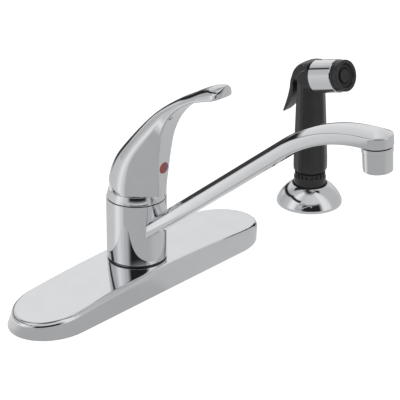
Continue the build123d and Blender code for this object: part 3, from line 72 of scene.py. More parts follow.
def noise(tree, scale, detail=3.0):
    """Noise over the object's own coordinates."""
    where = tree.nodes.new("ShaderNodeTexCoord")
    made = tree.nodes.new("ShaderNodeTexNoise")
    made.inputs["Scale"].default_value = scale
    made.inputs["Detail"].default_value = detail
    tree.links.new(where.outputs["Object"], made.inputs["Vector"])
    return made.outputs["Fac"]


def spread(tree, value, low, high):
    """Maps a 0..1 value to low..high."""
    made = tree.nodes.new("ShaderNodeMapRange")
    made.inputs["To Min"].default_value = low
    made.inputs["To Max"].default_value = high
    tree.links.new(value, made.inputs["Value"])
    return made.outputs["Result"]


def grain(tree, shader, scale, strength, distance):
    """Fine surface bump from noise."""
    bump = tree.nodes.new("ShaderNodeBump")
    bump.inputs["Strength"].default_value = strength
    bump.inputs["Distance"].default_value = distance
    tree.links.new(noise(tree, scale), bump.inputs["Height"])
    tree.links.new(bump.outputs["Normal"], shader.inputs["Normal"])


def tinted(tree, shader, scale, dark, light):
    """Colour that drifts gently between two tints."""
    tints = tree.nodes.new("ShaderNodeValToRGB")
    for element, place, tint in zip(tints.color_ramp.elements, (0.35, 0.65), (dark, light)):
        element.position, element.color = place, (*tint, 1)
    tree.links.new(noise(tree, scale), tints.inputs["Fac"])
    tree.links.new(tints.outputs["Color"], shader.inputs["Base Color"])


def metal(name, dark, light, rough, wander, scale=60.0):
    """Bare or plated metal with a roughness that drifts a little."""
    made, tree, shader = material(name)
    shader.inputs["Metallic"].default_value = 1.0
    tinted(tree, shader, scale, dark, light)
    tree.links.new(spread(tree, noise(tree, scale * 2), rough, rough + wander),
                   shader.inputs["Roughness"])
    return made


def plastic(name, dark, light, rough, wander, pore, depth):
    """Moulded plastic or rubber with a fine pore, its depth in millimetres."""
    made, tree, shader = material(name)
    tinted(tree, shader, 90.0, dark, light)
    tree.links.new(spread(tree, noise(tree, 240.0), rough, rough + wander),
                   shader.inputs["Roughness"])
    grain(tree, shader, pore, 0.35, depth * MM)
    return made


def wire(tree, socket, value):
    """Feeds a socket from another node's output or with a plain value."""
    if isinstance(value, bpy.types.NodeSocket):
        tree.links.new(value, socket)
    else:
        socket.default_value = value


def calc(tree, operation, *values):
    """One math node; returns its result."""
    made = tree.nodes.new("ShaderNodeMath")
    made.operation = operation
    for socket, value in zip(made.inputs, values):
        wire(tree, socket, value)
    return made.outputs["Value"]


def ramp(tree, value, low, high, stops, smooth="EASE"):
    """Grey levels over a value that runs from low to high; stops are (value, level)."""
    made = tree.nodes.new("ShaderNodeValToRGB")
    made.color_ramp.interpolation = smooth
    elements = made.color_ramp.elements
    while len(elements) > 1:
        elements.remove(elements[-1])
    for index, (at, level) in enumerate(stops):
        place = (at - low) / (high - low)
        element = elements[0] if index == 0 else elements.new(place)
        element.position, element.color = place, (level, level, level, 1)
    run = tree.nodes.new("ShaderNodeMapRange")
    run.inputs["From Min"].default_value, run.inputs["From Max"].default_value = low, high
    wire(tree, run.inputs["Value"], value)
    tree.links.new(run.outputs["Result"], made.inputs["Fac"])
    return made.outputs["Color"]


def inside(tree, value, centre, half, soft):
    """1 within half of the centre, falling to 0 over a soft edge."""
    off = calc(tree, "ABSOLUTE", calc(tree, "SUBTRACT", value, centre))
    made = tree.nodes.new("ShaderNodeMapRange")
    made.interpolation_type = "SMOOTHSTEP"
    limits = {"From Min": half - soft, "From Max": half + soft, "To Min": 1, "To Max": 0}
    for socket, level in limits.items():
        made.inputs[socket].default_value = level
    wire(tree, made.inputs["Value"], off)
    return made.outputs["Result"]


def compass(tree, vector):
    """Bearing (0 along +X, 90 along +Y) and elevation of a vector, in degrees."""
    split = tree.nodes.new("ShaderNodeSeparateXYZ")
    tree.links.new(vector, split.inputs["Vector"])
    around = calc(tree, "ARCTAN2", split.outputs["Y"], split.outputs["X"])
    bearing = calc(tree, "MULTIPLY", around, 180 / pi)
    elevation = calc(tree, "MULTIPLY", calc(tree, "ARCSINE", split.outputs["Z"]), 180 / pi)
    return bearing, elevation


# ---------------------------------------------------------------- materials by slot
CHROME = metal("chrome", (0.765, 0.775, 0.795), (0.785, 0.795, 0.812), 0.035, 0.03)
LOOKS = {
    "chrome_plate": CHROME,
    "handle_chrome": CHROME,
    "spout_chrome": CHROME,
    "brass": metal("brass", (0.55, 0.40, 0.16), (0.62, 0.46, 0.20), 0.22, 0.12),
    "copper": metal("copper", (0.58, 0.27, 0.15), (0.66, 0.32, 0.18), 0.2, 0.12),
    "zinc_steel": metal("zinc_steel", (0.42, 0.43, 0.42), (0.52, 0.53, 0.52), 0.3, 0.15),
    "stainless": metal("stainless", (0.50, 0.51, 0.52), (0.58, 0.59, 0.60), 0.22, 0.1),
    "rubber": plastic("rubber", (0.018, 0.018, 0.019), (0.026, 0.026, 0.027), 0.55, 0.12, 900.0, 0.04),
    "black_plastic": plastic("black_plastic", (0.016, 0.0162, 0.017), (0.021, 0.0212, 0.022),
                             0.26, 0.07, 1400.0, 0.012),
    "white_plastic": plastic("white_plastic", (0.70, 0.71, 0.72), (0.76, 0.77, 0.78),
                             0.42, 0.08, 700.0, 0.02),
    "grey_plastic": plastic("grey_plastic", (0.22, 0.23, 0.25), (0.26, 0.27, 0.29),
                            0.4, 0.08, 700.0, 0.02),
    "ceramic": plastic("ceramic", (0.76, 0.74, 0.68), (0.82, 0.80, 0.74), 0.12, 0.05, 500.0, 0.004),
}


INDEX_RADIUS = 4.7
RED_END, BLUE_START = 0.70, 0.80


def index_look():
    """Clear-faced button, mostly red, with violet blue along its right edge."""
    made, tree, shader = material("index_dye")
    where = tree.nodes.new("ShaderNodeTexCoord")
    split = tree.nodes.new("ShaderNodeSeparateXYZ")
    dyes = tree.nodes.new("ShaderNodeValToRGB")
    tree.links.new(where.outputs["Object"], split.inputs["Vector"])
    across = tree.nodes.new("ShaderNodeMapRange")
    across.inputs["From Min"].default_value = -INDEX_RADIUS * MM
    across.inputs["From Max"].default_value = INDEX_RADIUS * MM
    tree.links.new(split.outputs["X"], across.inputs["Value"])
    tree.links.new(across.outputs["Result"], dyes.inputs["Fac"])
    left, right = dyes.color_ramp.elements
    left.position, left.color = RED_END, (0.36, 0.045, 0.035, 1)
    right.position, right.color = BLUE_START, (0.13, 0.12, 0.30, 1)
    tree.links.new(dyes.outputs["Color"], shader.inputs["Base Color"])
    tree.links.new(spread(tree, noise(tree, 300.0), 0.12, 0.2), shader.inputs["Roughness"])
    shader.inputs["Coat Weight"].default_value = 0.6
    shader.inputs["Coat Roughness"].default_value = 0.05
    return made


LOOKS["index_dye"] = index_look()

slot_of = {entry["node"]: entry["material_slot"] for entry in frame["record"]["subparts"]}
body_of = {node: body for body, nodes in frame["record"]["behaviour"]["bodies"].items()
           for node in nodes}
for name, node in frame["nodes"].items():
    node.data.materials.clear()
    node.data.materials.append(LOOKS[slot_of[name]])
    for face in node.data.polygons:
        face.material_index = 0

# ---------------------------------------------------------------- mesh helpers
# Sizes from here on are millimetres, unless a line says otherwise.
UPRIGHT = Matrix.Identity(4)
CORNER_SHARE = 0.45  # how much of a side one rounded corner may take


def piece(name, points, faces, *nodes, soft_angle=32.0):
    """A smooth-shaded mesh that stands for CAD nodes and takes their slot, body and material."""
    mesh = bpy.data.meshes.new(name)
    mesh.from_pydata([tuple(p) for p in points], [], faces)
    mesh.validate()
    made = bpy.data.objects.new(name, mesh)
    bpy.context.scene.collection.objects.link(made)
    shaped = bmesh.new()
    shaped.from_mesh(mesh)
    bmesh.ops.remove_doubles(shaped, verts=shaped.verts, dist=1e-7)
    bmesh.ops.recalc_face_normals(shaped, faces=shaped.faces)
    for edge in shaped.edges:
        edge.smooth = edge.calc_face_angle(0.0) < radians(soft_angle)
    for face in shaped.faces:
        face.smooth = True
    shaped.to_mesh(mesh)
    shaped.free()
    mesh.materials.append(LOOKS[slot_of[nodes[0]]])
    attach(made, body_of[nodes[0]])
    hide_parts(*nodes)
    return made


def scaled(rows):
    """The points of millimetre rows, in metres."""
    return [(x * MM, y * MM, z * MM) for row in rows for x, y, z in row]


def placed(centre, side, axis):
    """Matrix that stands a lathe on a centre in metres, with its axis along a direction."""
    turn = Matrix((Vector((1, 0, 0)), side, axis)).transposed()
    return Matrix.Translation(centre) @ turn.to_4x4()


def grid_faces(rows, columns, wrap=True):
    """Quads over a rows x columns grid of points; wrap closes it round the columns."""
    faces = []
    for i in range(rows - 1):
        for j in range(columns if wrap else columns - 1):
            k = (j + 1) % columns
            faces.append((i * columns + j, i * columns + k,
                          (i + 1) * columns + k, (i + 1) * columns + j))
    return faces


def rounded(profile, radius, steps=5):
    """A polyline of (r, z) points with its inner corners rounded."""
    made = [profile[0]]
    for before, here, after in zip(profile, profile[1:], profile[2:]):
        a, b, c = (np.array(p, float) for p in (before, here, after))
        back, on = np.linalg.norm(a - b), np.linalg.norm(c - b)
        reach = min(radius, back * CORNER_SHARE, on * CORNER_SHARE)
        start = b + (a - b) / back * reach
        end = b + (c - b) / on * reach
        for t in np.linspace(0, 1, steps):
            made.append(tuple((1 - t) ** 2 * start + 2 * t * (1 - t) * b + t**2 * end))
    made.append(profile[-1])
    return made


def arc(centre, radius, start, end, steps):
    """Points of an arc, both ends included, from start to end in radians."""
    return [(centre[0] + radius * cos(a), centre[1] + radius * sin(a))
            for a in np.linspace(start, end, steps)]


def through(rows, at):
    """Smooth curve through rows of points; at gives each column's place along them."""
    gaps = np.linalg.norm(np.diff(rows[:, 0], axis=0), axis=1)
    knots = np.concatenate([[0], np.cumsum(gaps)]) / gaps.sum()
    slopes = np.gradient(rows, knots, axis=0)
    where = np.clip(np.searchsorted(knots, at, side="right") - 1, 0, len(knots) - 2)
    width = knots[where + 1] - knots[where]
    s = ((at - knots[where]) / width)[:, None]
    column = np.arange(rows.shape[1])
    a, b = rows[where, column], rows[where + 1, column]
    m, n = slopes[where, column] * width[:, None], slopes[where + 1, column] * width[:, None]
    return ((2 * s**3 - 3 * s**2 + 1) * a + (s**3 - 2 * s**2 + s) * m
            + (3 * s**2 - 2 * s**3) * b + (s**3 - s**2) * n)


def lathe(name, profile, place, *nodes, steps=128, soft_angle=32.0):
    """A surface of revolution from (radius, height) millimetres, set by a matrix."""
    points = []
    for r, z in profile:
        for j in range(steps):
            turn = FULL_TURN * j / steps
            points.append(place @ Vector((r * cos(turn) * MM, r * sin(turn) * MM, z * MM)))
    return piece(name, points, grid_faces(len(profile), steps), *nodes, soft_angle=soft_angle)


# ---------------------------------------------------------------- deck plate
# The polished plate runs level from its rounded front edge to the hub's foot and arches along its
# length. Its back leans in from the gasket's edge.
(plate_x0, plate_front, _), (plate_x1, plate_back, neck_top) = (
    [c / MM for c in corner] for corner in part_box("deck_plate"))
PLATE_HALF = (plate_x1 - plate_x0) / 2
PLATE_REACH = 37.0  # length of each elliptical end
STRAIGHT = PLATE_HALF - PLATE_REACH
PLATE_MID, PLATE_END = neck_top - 0.2, 13.6
PLATE_BACK_TOP = 26.0
PLATE_EDGE = 4.2
PLATE_WALL, PLATE_LIP = 2.2, 3.2
PLATE_HOLE, HOLE_LEVEL = 21.0, 3.0  # the hole's radius, and the height that it is cut down to
HUB_RADIUS, NECK_BORE = 23.5, 19.3
NECK_INSET, NECK_SINK, NECK_EDGE = 1.0, 1.5, 0.15


def plate_top(x):
    """Height of the plate's arched top."""
    return PLATE_MID - (PLATE_MID - PLATE_END) * (x / PLATE_HALF) ** 2


def plan(back, inset=0.0, along=64, round_steps=56):
    """Points round the plate's plan, counter-clockwise from the front left, with elliptical ends."""
    middle, half = (plate_front + back) / 2, (back - plate_front) / 2
    points = [(x, plate_front) for x in np.linspace(-STRAIGHT, STRAIGHT, along)]
    turns = np.linspace(-pi / 2, pi / 2, round_steps)[1:-1]
    points += [(STRAIGHT + PLATE_REACH * cos(a), middle + half * sin(a)) for a in turns]
    points += [(x, back) for x in np.linspace(STRAIGHT, -STRAIGHT, along)]
    points += [(-STRAIGHT - PLATE_REACH * cos(a), middle - half * sin(a)) for a in turns]
    points = np.array(points)
    way = np.roll(points, -1, axis=0) - np.roll(points, 1, axis=0)
    way /= np.linalg.norm(way, axis=1)[:, None]
    return points + np.stack([-way[:, 1], way[:, 0]], axis=1) * inset


def deck_plate():
    """The plate's shell: rim, wall, rounded edge and arched top with a round hole under the hub."""
    edge = plan(PLATE_BACK_TOP)
    top = []
    for turn in np.linspace(0, pi / 2, 14):
        inner = plan(PLATE_BACK_TOP, PLATE_EDGE * (1 - cos(turn)))
        top.append([(x, y, plate_top(x) - PLATE_EDGE * (1 - sin(turn))) for x, y in inner])
    low, high = np.array([(x, y, 0.0) for x, y in plan(plate_back)]), np.array(top[0])
    wall = [[tuple(p) for p in low + (high - low) * share] for share in (0, 0.02, 0.5, 0.98)]
    rim = np.array(top[-1])
    centre = (plate_front + PLATE_BACK_TOP) / 2
    spine = np.array([(min(max(x, -STRAIGHT), STRAIGHT), centre) for x, _ in edge])
    for share in np.linspace(0, 1, 36)[1:]:
        flat = rim[:, :2] + (spine - rim[:, :2]) * share
        top.append([(x, y, plate_top(x)) for x, y in flat])
    under = [[(x, y, plate_top(x) - PLATE_WALL) for x, y in plan(PLATE_BACK_TOP, PLATE_LIP)],
             [(x, y, 0.0) for x, y in plan(plate_back, PLATE_WALL)]]
    rows = under + wall + top
    points = scaled(rows)
    faces = []
    for face in grid_faces(len(rows), len(edge)):
        middle = sum((Vector(points[k]) for k in face), Vector()) / 4
        if middle.z < HOLE_LEVEL * MM or hypot(middle.x, middle.y) > PLATE_HOLE * MM:
            faces.append(face)
    piece("deck_plate_shell", points, faces, "deck_plate")
    foot = plate_top(HUB_RADIUS) - NECK_SINK
    outer = HUB_RADIUS - NECK_INSET
    neck = [(NECK_BORE, foot), (NECK_BORE, neck_top), (outer, neck_top), (outer, foot),
            (NECK_BORE, foot)]
    lathe("deck_plate_neck", rounded(neck, NECK_EDGE, 3), UPRIGHT, "deck_plate")


deck_plate()

# ---------------------------------------------------------------- handle
# The handle is a smooth shell through stations up its curve: front point (y, z), back point (y, z),
# half width of the flat front, and the radius of the rounded back, or 0 where the sides stay flat.
# The edge round the flat front narrows upward between two heights. The tip is rounded in plan from
# its start over its reach, and its top leans out a little. The rim climbs behind a break.
FACE_HALF, EDGE_LOW, EDGE_HIGH = 9.0, 3.8, 1.5
EDGE_SPAN = (80.0, 150.0)
DOME_RADIUS, FACE_DRAFT, SIDE_SHARE = 21.2, 0.4, 0.45
STATIONS = (
    (-27.5, 74.0, 21.0, 74.0, FACE_HALF, DOME_RADIUS),
    (-27.8, 88.0, 20.8, 88.0, FACE_HALF, 20.9),
    (-28.8, 102.0, 15.8, 102.6, FACE_HALF, 17.8),
    (-30.6, 118.0, 3.0, 119.8, FACE_HALF, 13.8),
    (-33.2, 131.0, -11.6, 136.2, FACE_HALF, 11.2),
    (-40.6, 147.3, -28.0, 151.6, FACE_HALF, 0),
    (-52.5, 159.8, -47.8, 165.6, FACE_HALF, 0),
    (-64.5, 167.4, -61.5, 173.6, FACE_HALF + 0.1, 0),
    (-76.0, 171.6, -73.0, 180.2, FACE_HALF + 0.5, 0),
    (-85.0, 174.8, -82.5, 184.6, FACE_HALF + 1.0, 0),
    (-94.0, 178.8, -92.5, 187.6, FACE_HALF + 1.2, 0),
)
TIP_START, TIP_REACH, TIP_LEAN, TIP_SQUARE, TIP_THIN = -82.0, 8.4, 0.3, 2.7, 0.001
RIM_LEVEL, RIM_BREAK, RIM_RISE = 79.7, -6.0, 0.255
LIP_WIDTH, LIP_DROP = 0.5, 0.12
HOLLOW, PIVOT = 19.8, 80.0
HOLLOW_SHARES = (0.97, 0.6, 0.3, 0.1, 0.02, 0)  # of the way from the rim to the hollow's top


def station_half(depth, face, crown, edge):
    """Right half of a handle section: across the front, round its edge, up the side, over the back."""
    if crown:
        centre = depth - crown
        span = hypot(face, centre)
        touch = atan2(-centre, face) + acos(crown / span)
        side, level = crown * cos(touch), centre + crown * sin(touch)
    else:
        side, level = face - FACE_DRAFT, depth * SIDE_SHARE
        crown = ((depth - level) ** 2 + side**2) / (2 * (depth - level))
        centre = depth - crown
        touch = atan2(level - centre, side)
    slope = atan2(level, side - face)
    reach = edge * tan((pi - slope) / 2)
    points = [(x, 0.0) for x in np.linspace(0, face - reach, 9)[:-1]]
    points += arc((face - reach, edge), edge, -pi / 2, slope - pi / 2, 9)
    last = points[-1]
    points += [(last[0] + (side - last[0]) * s, last[1] + (level - last[1]) * s)
               for s in np.linspace(0, 1, 12)[1:-1]]
    points += arc((0, centre), crown, touch, pi / 2, 26)
    return points


def handle_columns():
    """The stations as rows of points round the section, mirrored to a closed loop."""
    rows = []
    for front_y, front_z, back_y, back_z, face, crown in STATIONS:
        depth = hypot(back_y - front_y, back_z - front_z)
        into = ((back_y - front_y) / depth, (back_z - front_z) / depth)
        edge = float(np.interp(front_z, EDGE_SPAN, (EDGE_LOW, EDGE_HIGH)))
        half = station_half(depth, face, crown, edge)
        loop = half + [(-x, d) for x, d in half[-2:0:-1]]
        rows.append([(x, front_y + d * into[0], front_z + d * into[1]) for x, d in loop])
    return np.array(rows)


def rim_gap(points):
    """How far points lie above the skirt's rim, which climbs towards the back."""
    return points[:, 2] - RIM_LEVEL - np.maximum(points[:, 1] - RIM_BREAK, 0) * RIM_RISE


def rim_place(rows):
    """Place along the stations where each column crosses the rim, found by halving."""
    low, high = np.zeros(rows.shape[1]), np.full(rows.shape[1], 0.5)
    for _ in range(40):
        middle = (low + high) / 2
        below = rim_gap(through(rows, middle)) < 0
        low, high = np.where(below, middle, low), np.where(below, high, middle)
    return high


def front_place(rows, depth):
    """Place along the stations where the middle of the front comes out to a depth y."""
    ends = np.linspace(0.6, 1, 400)
    fronts = np.array([through(rows, np.full(rows.shape[1], at))[0, 1] for at in ends])
    return float(ends[np.argmax(fronts < depth)])


def handle():
    """The handle's shell: its hollow, the lip of the rim, the curved body and the rounded tip."""
    rows = handle_columns()
    columns = rows.shape[1]
    first = rim_place(rows)
    tip, last = front_place(rows, TIP_START), front_place(rows, TIP_START - TIP_REACH)
    shell = [through(rows, first + (tip - first) * share) for share in np.linspace(0, 1, 96)]
    for turn in np.linspace(0, pi / 2, 22)[1:]:
        row = through(rows, np.full(columns, tip + (last - tip) * sin(turn)))
        row[:, 0] *= max((1 - sin(turn) ** TIP_SQUARE) ** (1 / TIP_SQUARE), TIP_THIN)
        row[:, 1] -= TIP_LEAN * (row[:, 2] - row[0, 2]) * sin(turn)
        shell.append(row)
    rim = shell[0]
    outward = rim[:, :2] / np.linalg.norm(rim[:, :2], axis=1)[:, None]
    rise = np.arcsin(np.clip((rim[:, 2] - PIVOT) / HOLLOW, -1, 1))
    grid = []
    for share in HOLLOW_SHARES:
        lift = rise + (pi / 2 - rise) * share
        grid.append(np.column_stack([outward * (HOLLOW * np.cos(lift))[:, None],
                                     PIVOT + HOLLOW * np.sin(lift)]))
    lip = rim.copy()
    lip[:, :2] -= outward * LIP_WIDTH
    lip[:, 2] -= LIP_DROP
    grid += [lip] + shell
    piece("handle_shell", scaled(grid), grid_faces(len(grid), columns), "handle", soft_angle=40)


handle()

# ---------------------------------------------------------------- bonnet cap
# The cap carries the hub's line up to the handle as a slim cone and turns in to the ball that the
# handle rides over.
CAP_FOOT, CAP_FOOT_RADIUS, CAP_TOP, CAP_TOP_RADIUS = 72.1, 23.2, 78.7, 21.4
CAP_BALL, CAP_MOUTH, CAP_WALL = 19.4, 14.6, 1.3
CAP_BRIM, CAP_EDGE = 2.0, 0.35


def bonnet_cap():
    """The cap's cone, ball and inner wall, turned in one."""
    under_radius = CAP_BALL - CAP_WALL
    start = acos((CAP_TOP - PIVOT) / CAP_BALL)
    ball = [(CAP_BALL * sin(a), PIVOT + CAP_BALL * cos(a))
            for a in np.linspace(start, np.arcsin(CAP_MOUTH / CAP_BALL), 28)]
    under = [(under_radius * sin(a), PIVOT + under_radius * cos(a))
             for a in np.linspace(np.arcsin(CAP_MOUTH / under_radius), start, 20)]
    brim = (CAP_FOOT_RADIUS - CAP_BRIM, CAP_FOOT)
    skirt = rounded([brim, (CAP_FOOT_RADIUS, CAP_FOOT), (CAP_TOP_RADIUS, CAP_TOP), ball[0]], CAP_EDGE)
    lathe("bonnet_cap_shell", skirt + ball[1:] + under + [brim], UPRIGHT, "bonnet_cap", steps=160)


bonnet_cap()

# ---------------------------------------------------------------- spout
# The arm is a crowned bar swept up its slope, round one bend and over the outlet, where its half
# section turns round the outlet's axis. The hub is turned.
SLOPE, END_SLOPE = radians(38.9), radians(5.0)
REACH, END_RUN, BEND = 226.0, 7.0, 128.5
ARM_HUB_Z, ARM_HALF, ARM_SIDE, ARM_CROWN = 33.7, 11.6, 7.9, 3.9
ARM_KEEL, KEEL_INSET = 0.95, 3.0
ARM_EDGE, CROWN_TURN = 0.7, 0.24
ARM_ROOT = 21.6
ROOT_STEPS, BEND_STEPS, END_STEPS = 24, 60, 49
HUB_LOW, HUB_HIGH, HUB_EDGE = neck_top + 1.0, 71.4, 0.25
HUB_BORE, NUT_BORE, NUT_STEP = 19.08, 21.0, 61.7
OUTLET_BORE, OUTLET_RADIUS, OUTLET_LENGTH, OUTLET_SINK, OUTLET_EDGE = 4.6, 8.6, 7.0, 1.0, 0.6


def arm_half():
    """Right half of the arm's section from the bottom's middle to the top's: (x, height)."""
    low, high = -ARM_SIDE / 2, ARM_SIDE / 2
    crown = (ARM_HALF**2 + ARM_CROWN**2) / (2 * ARM_CROWN)
    centre = high + ARM_CROWN - crown
    corner = [(0, low - ARM_KEEL), (ARM_HALF - KEEL_INSET, low - ARM_KEEL), (ARM_HALF, low),
              (ARM_HALF, high), (crown * sin(CROWN_TURN), centre + crown * cos(CROWN_TURN))]
    soft = rounded(corner, ARM_EDGE, 7)
    start = atan2(soft[-1][1] - centre, soft[-1][0])
    return [(float(x), float(z)) for x, z in soft] + arc((0, centre), crown, start, pi / 2, 16)[1:]


BEND_Y = REACH - END_RUN - BEND * (sin(SLOPE) - sin(END_SLOPE))
BEND_Z = ARM_HUB_Z + BEND_Y * tan(SLOPE)
END_Z = BEND_Z - BEND * (cos(SLOPE) - cos(END_SLOPE)) + END_RUN * tan(END_SLOPE)


def spout_arm():
    """The arm: a straight run from inside the hub's wall, the bend, and the end's half turn."""
    half = arm_half()
    loop = half + [(-x, z) for x, z in half[-2:0:-1]]
    stations = []
    for angle in np.linspace(SLOPE, END_SLOPE, BEND_STEPS):
        stations.append((-(BEND_Y + BEND * (sin(SLOPE) - sin(angle))),
                         BEND_Z - BEND * (cos(SLOPE) - cos(angle)), angle))
    stations.append((-REACH, END_Z, END_SLOPE))
    bent = [[(x, y + h * sin(angle), z + h * cos(angle)) for x, h in loop] for y, z, angle in stations]
    root = []
    for x, y, z in bent[0]:
        run = -sqrt(ARM_ROOT**2 - x**2)
        root.append((x, run, z - (run - y) * tan(SLOPE)))
    start, end = np.array(root), np.array(bent[0])
    straight = [[tuple(p) for p in start + (end - start) * share]
                for share in np.linspace(0, 1, ROOT_STEPS)[:-1]]
    rows = straight + bent
    faces = grid_faces(len(rows), len(loop))
    count = len(rows) * len(loop)
    for turn in np.linspace(0, pi, END_STEPS):
        row = []
        for x, h in half:
            out, y, z = x * sin(turn), -REACH + h * sin(END_SLOPE), END_Z + h * cos(END_SLOPE)
            row.append((x * cos(turn), y - out * cos(END_SLOPE), z + out * sin(END_SLOPE)))
        rows.append(row)
    faces += [tuple(count + k for k in face) for face in grid_faces(END_STEPS, len(half), wrap=False)]
    piece("spout_arm_shell", scaled(rows), faces, "spout", soft_angle=28)


def spout():
    """The arm, the turned hub, and the outlet that carries the aerator."""
    spout_arm()
    hub = [(HUB_BORE, NUT_STEP), (HUB_BORE, HUB_LOW), (HUB_RADIUS, HUB_LOW), (HUB_RADIUS, HUB_HIGH),
           (NUT_BORE, HUB_HIGH), (NUT_BORE, NUT_STEP), (HUB_BORE, NUT_STEP)]
    lathe("spout_hub_shell", rounded(hub, HUB_EDGE, 4), UPRIGHT, "spout", steps=160)
    along = Vector((0, -cos(END_SLOPE), sin(END_SLOPE)))
    axis = Vector((0, sin(END_SLOPE), cos(END_SLOPE)))
    under = Vector((0, -REACH, END_Z)) * MM - axis * (ARM_SIDE / 2 + ARM_KEEL) * MM
    outlet = [(OUTLET_BORE, -OUTLET_SINK), (OUTLET_RADIUS, -OUTLET_SINK),
              (OUTLET_RADIUS, OUTLET_LENGTH - OUTLET_EDGE), (OUTLET_RADIUS - OUTLET_EDGE, OUTLET_LENGTH),
              (OUTLET_BORE, OUTLET_LENGTH), (OUTLET_BORE, -OUTLET_SINK)]
    lathe("spout_outlet", outlet, placed(under, along, -axis), "spout", steps=96)


spout()

# ---------------------------------------------------------------- hand spray
# An eight-sided grip tapers up to the barrel, and a smooth hood runs from the band down to the tail
# that the thumb presses. Heights are from the deck, and depths from the spray's own axis.
SPRAY_AXIS = Vector((203.2, -8.6, 0))
GRIP = (  # height, radius over the corners, lean to the back
    (28.4, 12.6, 0.0),
    (30.4, 14.5, 0.0),
    (33.0, 14.8, 0.0),
    (40.0, 14.75, 0.1),
    (60.0, 14.1, 0.5),
    (80.0, 13.3, 1.0),
    (100.0, 12.5, 1.5),
    (112.0, 12.1, 1.7),
)
GRIP_SIDES, GRIP_CORNER = 8, 0.96
GRIP_STEPS, GRIP_LEVELS = 240, 70
TOOTH_ROOT, TOOTH_DEPTH, TOOTH_COUNT = 11.8, 1.1, 20
GRIP_FOOT, SPIGOT_FOOT, SPIGOT_RADIUS, SPIGOT_EDGE = 24.6, 10.0, 10.9, 0.5
HOSE_WAY, HOSE_WAY_DEPTH = 5.0, 4.0
BARREL_TILT, BARREL_LEAD, BARREL_HEIGHT = radians(16.0), 0.2, 113.0
BARREL_RADIUS, BARREL_BACK, BARREL_FRONT, BARREL_ROUND, BARREL_BORE = 13.1, 8.6, 31.0, 4.0, 9.4
BARREL_STEPS = 128
AXIS_GAP = 0.05  # how close the barrel's end face comes to its axis
NOZZLE_FRONT, RIM_INNER, RIM_SLANT, RIM_DEPTH, RIM_EDGE = 35.8, 10.4, 1.2, 2.2, 0.7
DISC = (  # radius, depth behind the nozzle's front
    (0.03, 1.7), (5.6, 1.4), (5.7, 3.4), (6.8, 3.4), (7.0, 2.3), (9.4, 2.0), (9.4, 3.4), (0.03, 3.8),
)
DISC_EDGE = 0.25
HOOD = (  # outer (y, z), inner (y, z), half width
    (-1.4, 127.4, -2.6, 122.6, 10.9),
    (1.8, 127.0, 0.6, 121.4, 10.9),
    (6.0, 125.6, 4.4, 119.6, 10.9),
    (10.6, 122.8, 7.8, 116.6, 10.4),
    (14.8, 118.2, 10.6, 113.4, 9.8),
    (18.2, 109.6, 13.6, 109.0, 9.0),
    (20.6, 99.6, 14.4, 98.6, 8.0),
    (23.6, 89.4, 18.4, 87.6, 6.8),
    (26.6, 81.2, 23.2, 79.9, 5.6),
    (28.3, 76.8, 26.6, 76.2, 4.4),
)
HOOD_SQUARE, HOOD_STEPS, HOOD_END = 0.62, 60, 0.02
# The hood turns about its pin. The head leaves a gap to it over a little more than its whole stroke.
PIN_Y, PIN_Z, STROKE, HEAD_CORE, HOOD_GAP = 1.6, 124.0, radians(9.7), 104.0, 0.6


def pressed_line():
    """The hood's inner line when it is fully pressed, as bearing and distance from the head's core."""
    inner = np.array([[(half, inner_y, inner_z)] for _, _, inner_y, inner_z, half in HOOD])
    spots = []
    for at in np.linspace(0, 1, 160):
        _, inner_y, inner_z = through(inner, np.array([at]))[0]
        dy, dz = inner_y - PIN_Y, inner_z - PIN_Z
        y = PIN_Y + dy * cos(STROKE) + dz * sin(STROKE)
        z = PIN_Z + dz * cos(STROKE) - dy * sin(STROKE)
        spots.append((atan2(z - HEAD_CORE, y), hypot(y, z - HEAD_CORE)))
    return np.array(sorted(spots))


PRESSED = pressed_line()


def under_hood(x, y, z):
    """Pulls a point of the head in under the line that the pressed hood reaches."""
    at, reach = atan2(z - HEAD_CORE, y), hypot(y, z - HEAD_CORE)
    if not PRESSED[0, 0] < at < PRESSED[-1, 0]:
        return x, y, z
    room = float(np.interp(at, PRESSED[:, 0], PRESSED[:, 1])) - HOOD_GAP
    share = min(1.0, room / reach)
    return x, y * share, HEAD_CORE + (z - HEAD_CORE) * share


def grip_radius(turn, corner):
    """Distance to the outline of an eight-sided section with blunt corners."""
    step = FULL_TURN / GRIP_SIDES
    off = (turn % step) - step / 2
    return min(corner * cos(step / 2) / cos(off), corner * GRIP_CORNER)


def spray_grip():
    """The hose spigot, the toothed ring and the tapered grip, with room for the pressed hood."""
    turns = np.linspace(0, FULL_TURN, GRIP_STEPS + 1)[:-1]
    spigot = [[(r * cos(a), r * sin(a), z) for a in turns] for r, z in
              ((HOSE_WAY, SPIGOT_FOOT + HOSE_WAY_DEPTH), (HOSE_WAY, SPIGOT_FOOT),
               (SPIGOT_RADIUS - SPIGOT_EDGE, SPIGOT_FOOT), (SPIGOT_RADIUS, SPIGOT_FOOT + SPIGOT_EDGE),
               (SPIGOT_RADIUS, GRIP_FOOT))]
    toothed = [TOOTH_ROOT + (TOOTH_DEPTH if cos(a * TOOTH_COUNT) > 0 else 0) for a in turns]
    levels, corners, leans = zip(*GRIP)
    foot = [[(r * cos(a), r * sin(a), z) for r, a in zip(toothed, turns)]
            for z in (GRIP_FOOT, levels[0])]
    grid = spigot + foot
    for z in sorted(set(levels) | set(np.linspace(levels[0], levels[-1], GRIP_LEVELS))):
        corner, lean = float(np.interp(z, levels, corners)), float(np.interp(z, levels, leans))
        row = []
        for a in turns:
            reach = grip_radius(a, corner)
            row.append(under_hood(reach * cos(a), reach * sin(a) + lean, z))
        grid.append(row)
    points = [(Vector(p) + SPRAY_AXIS) * MM for row in grid for p in row]
    piece("spray_grip", points, grid_faces(len(grid), len(turns)), "spray_handpiece", soft_angle=24)


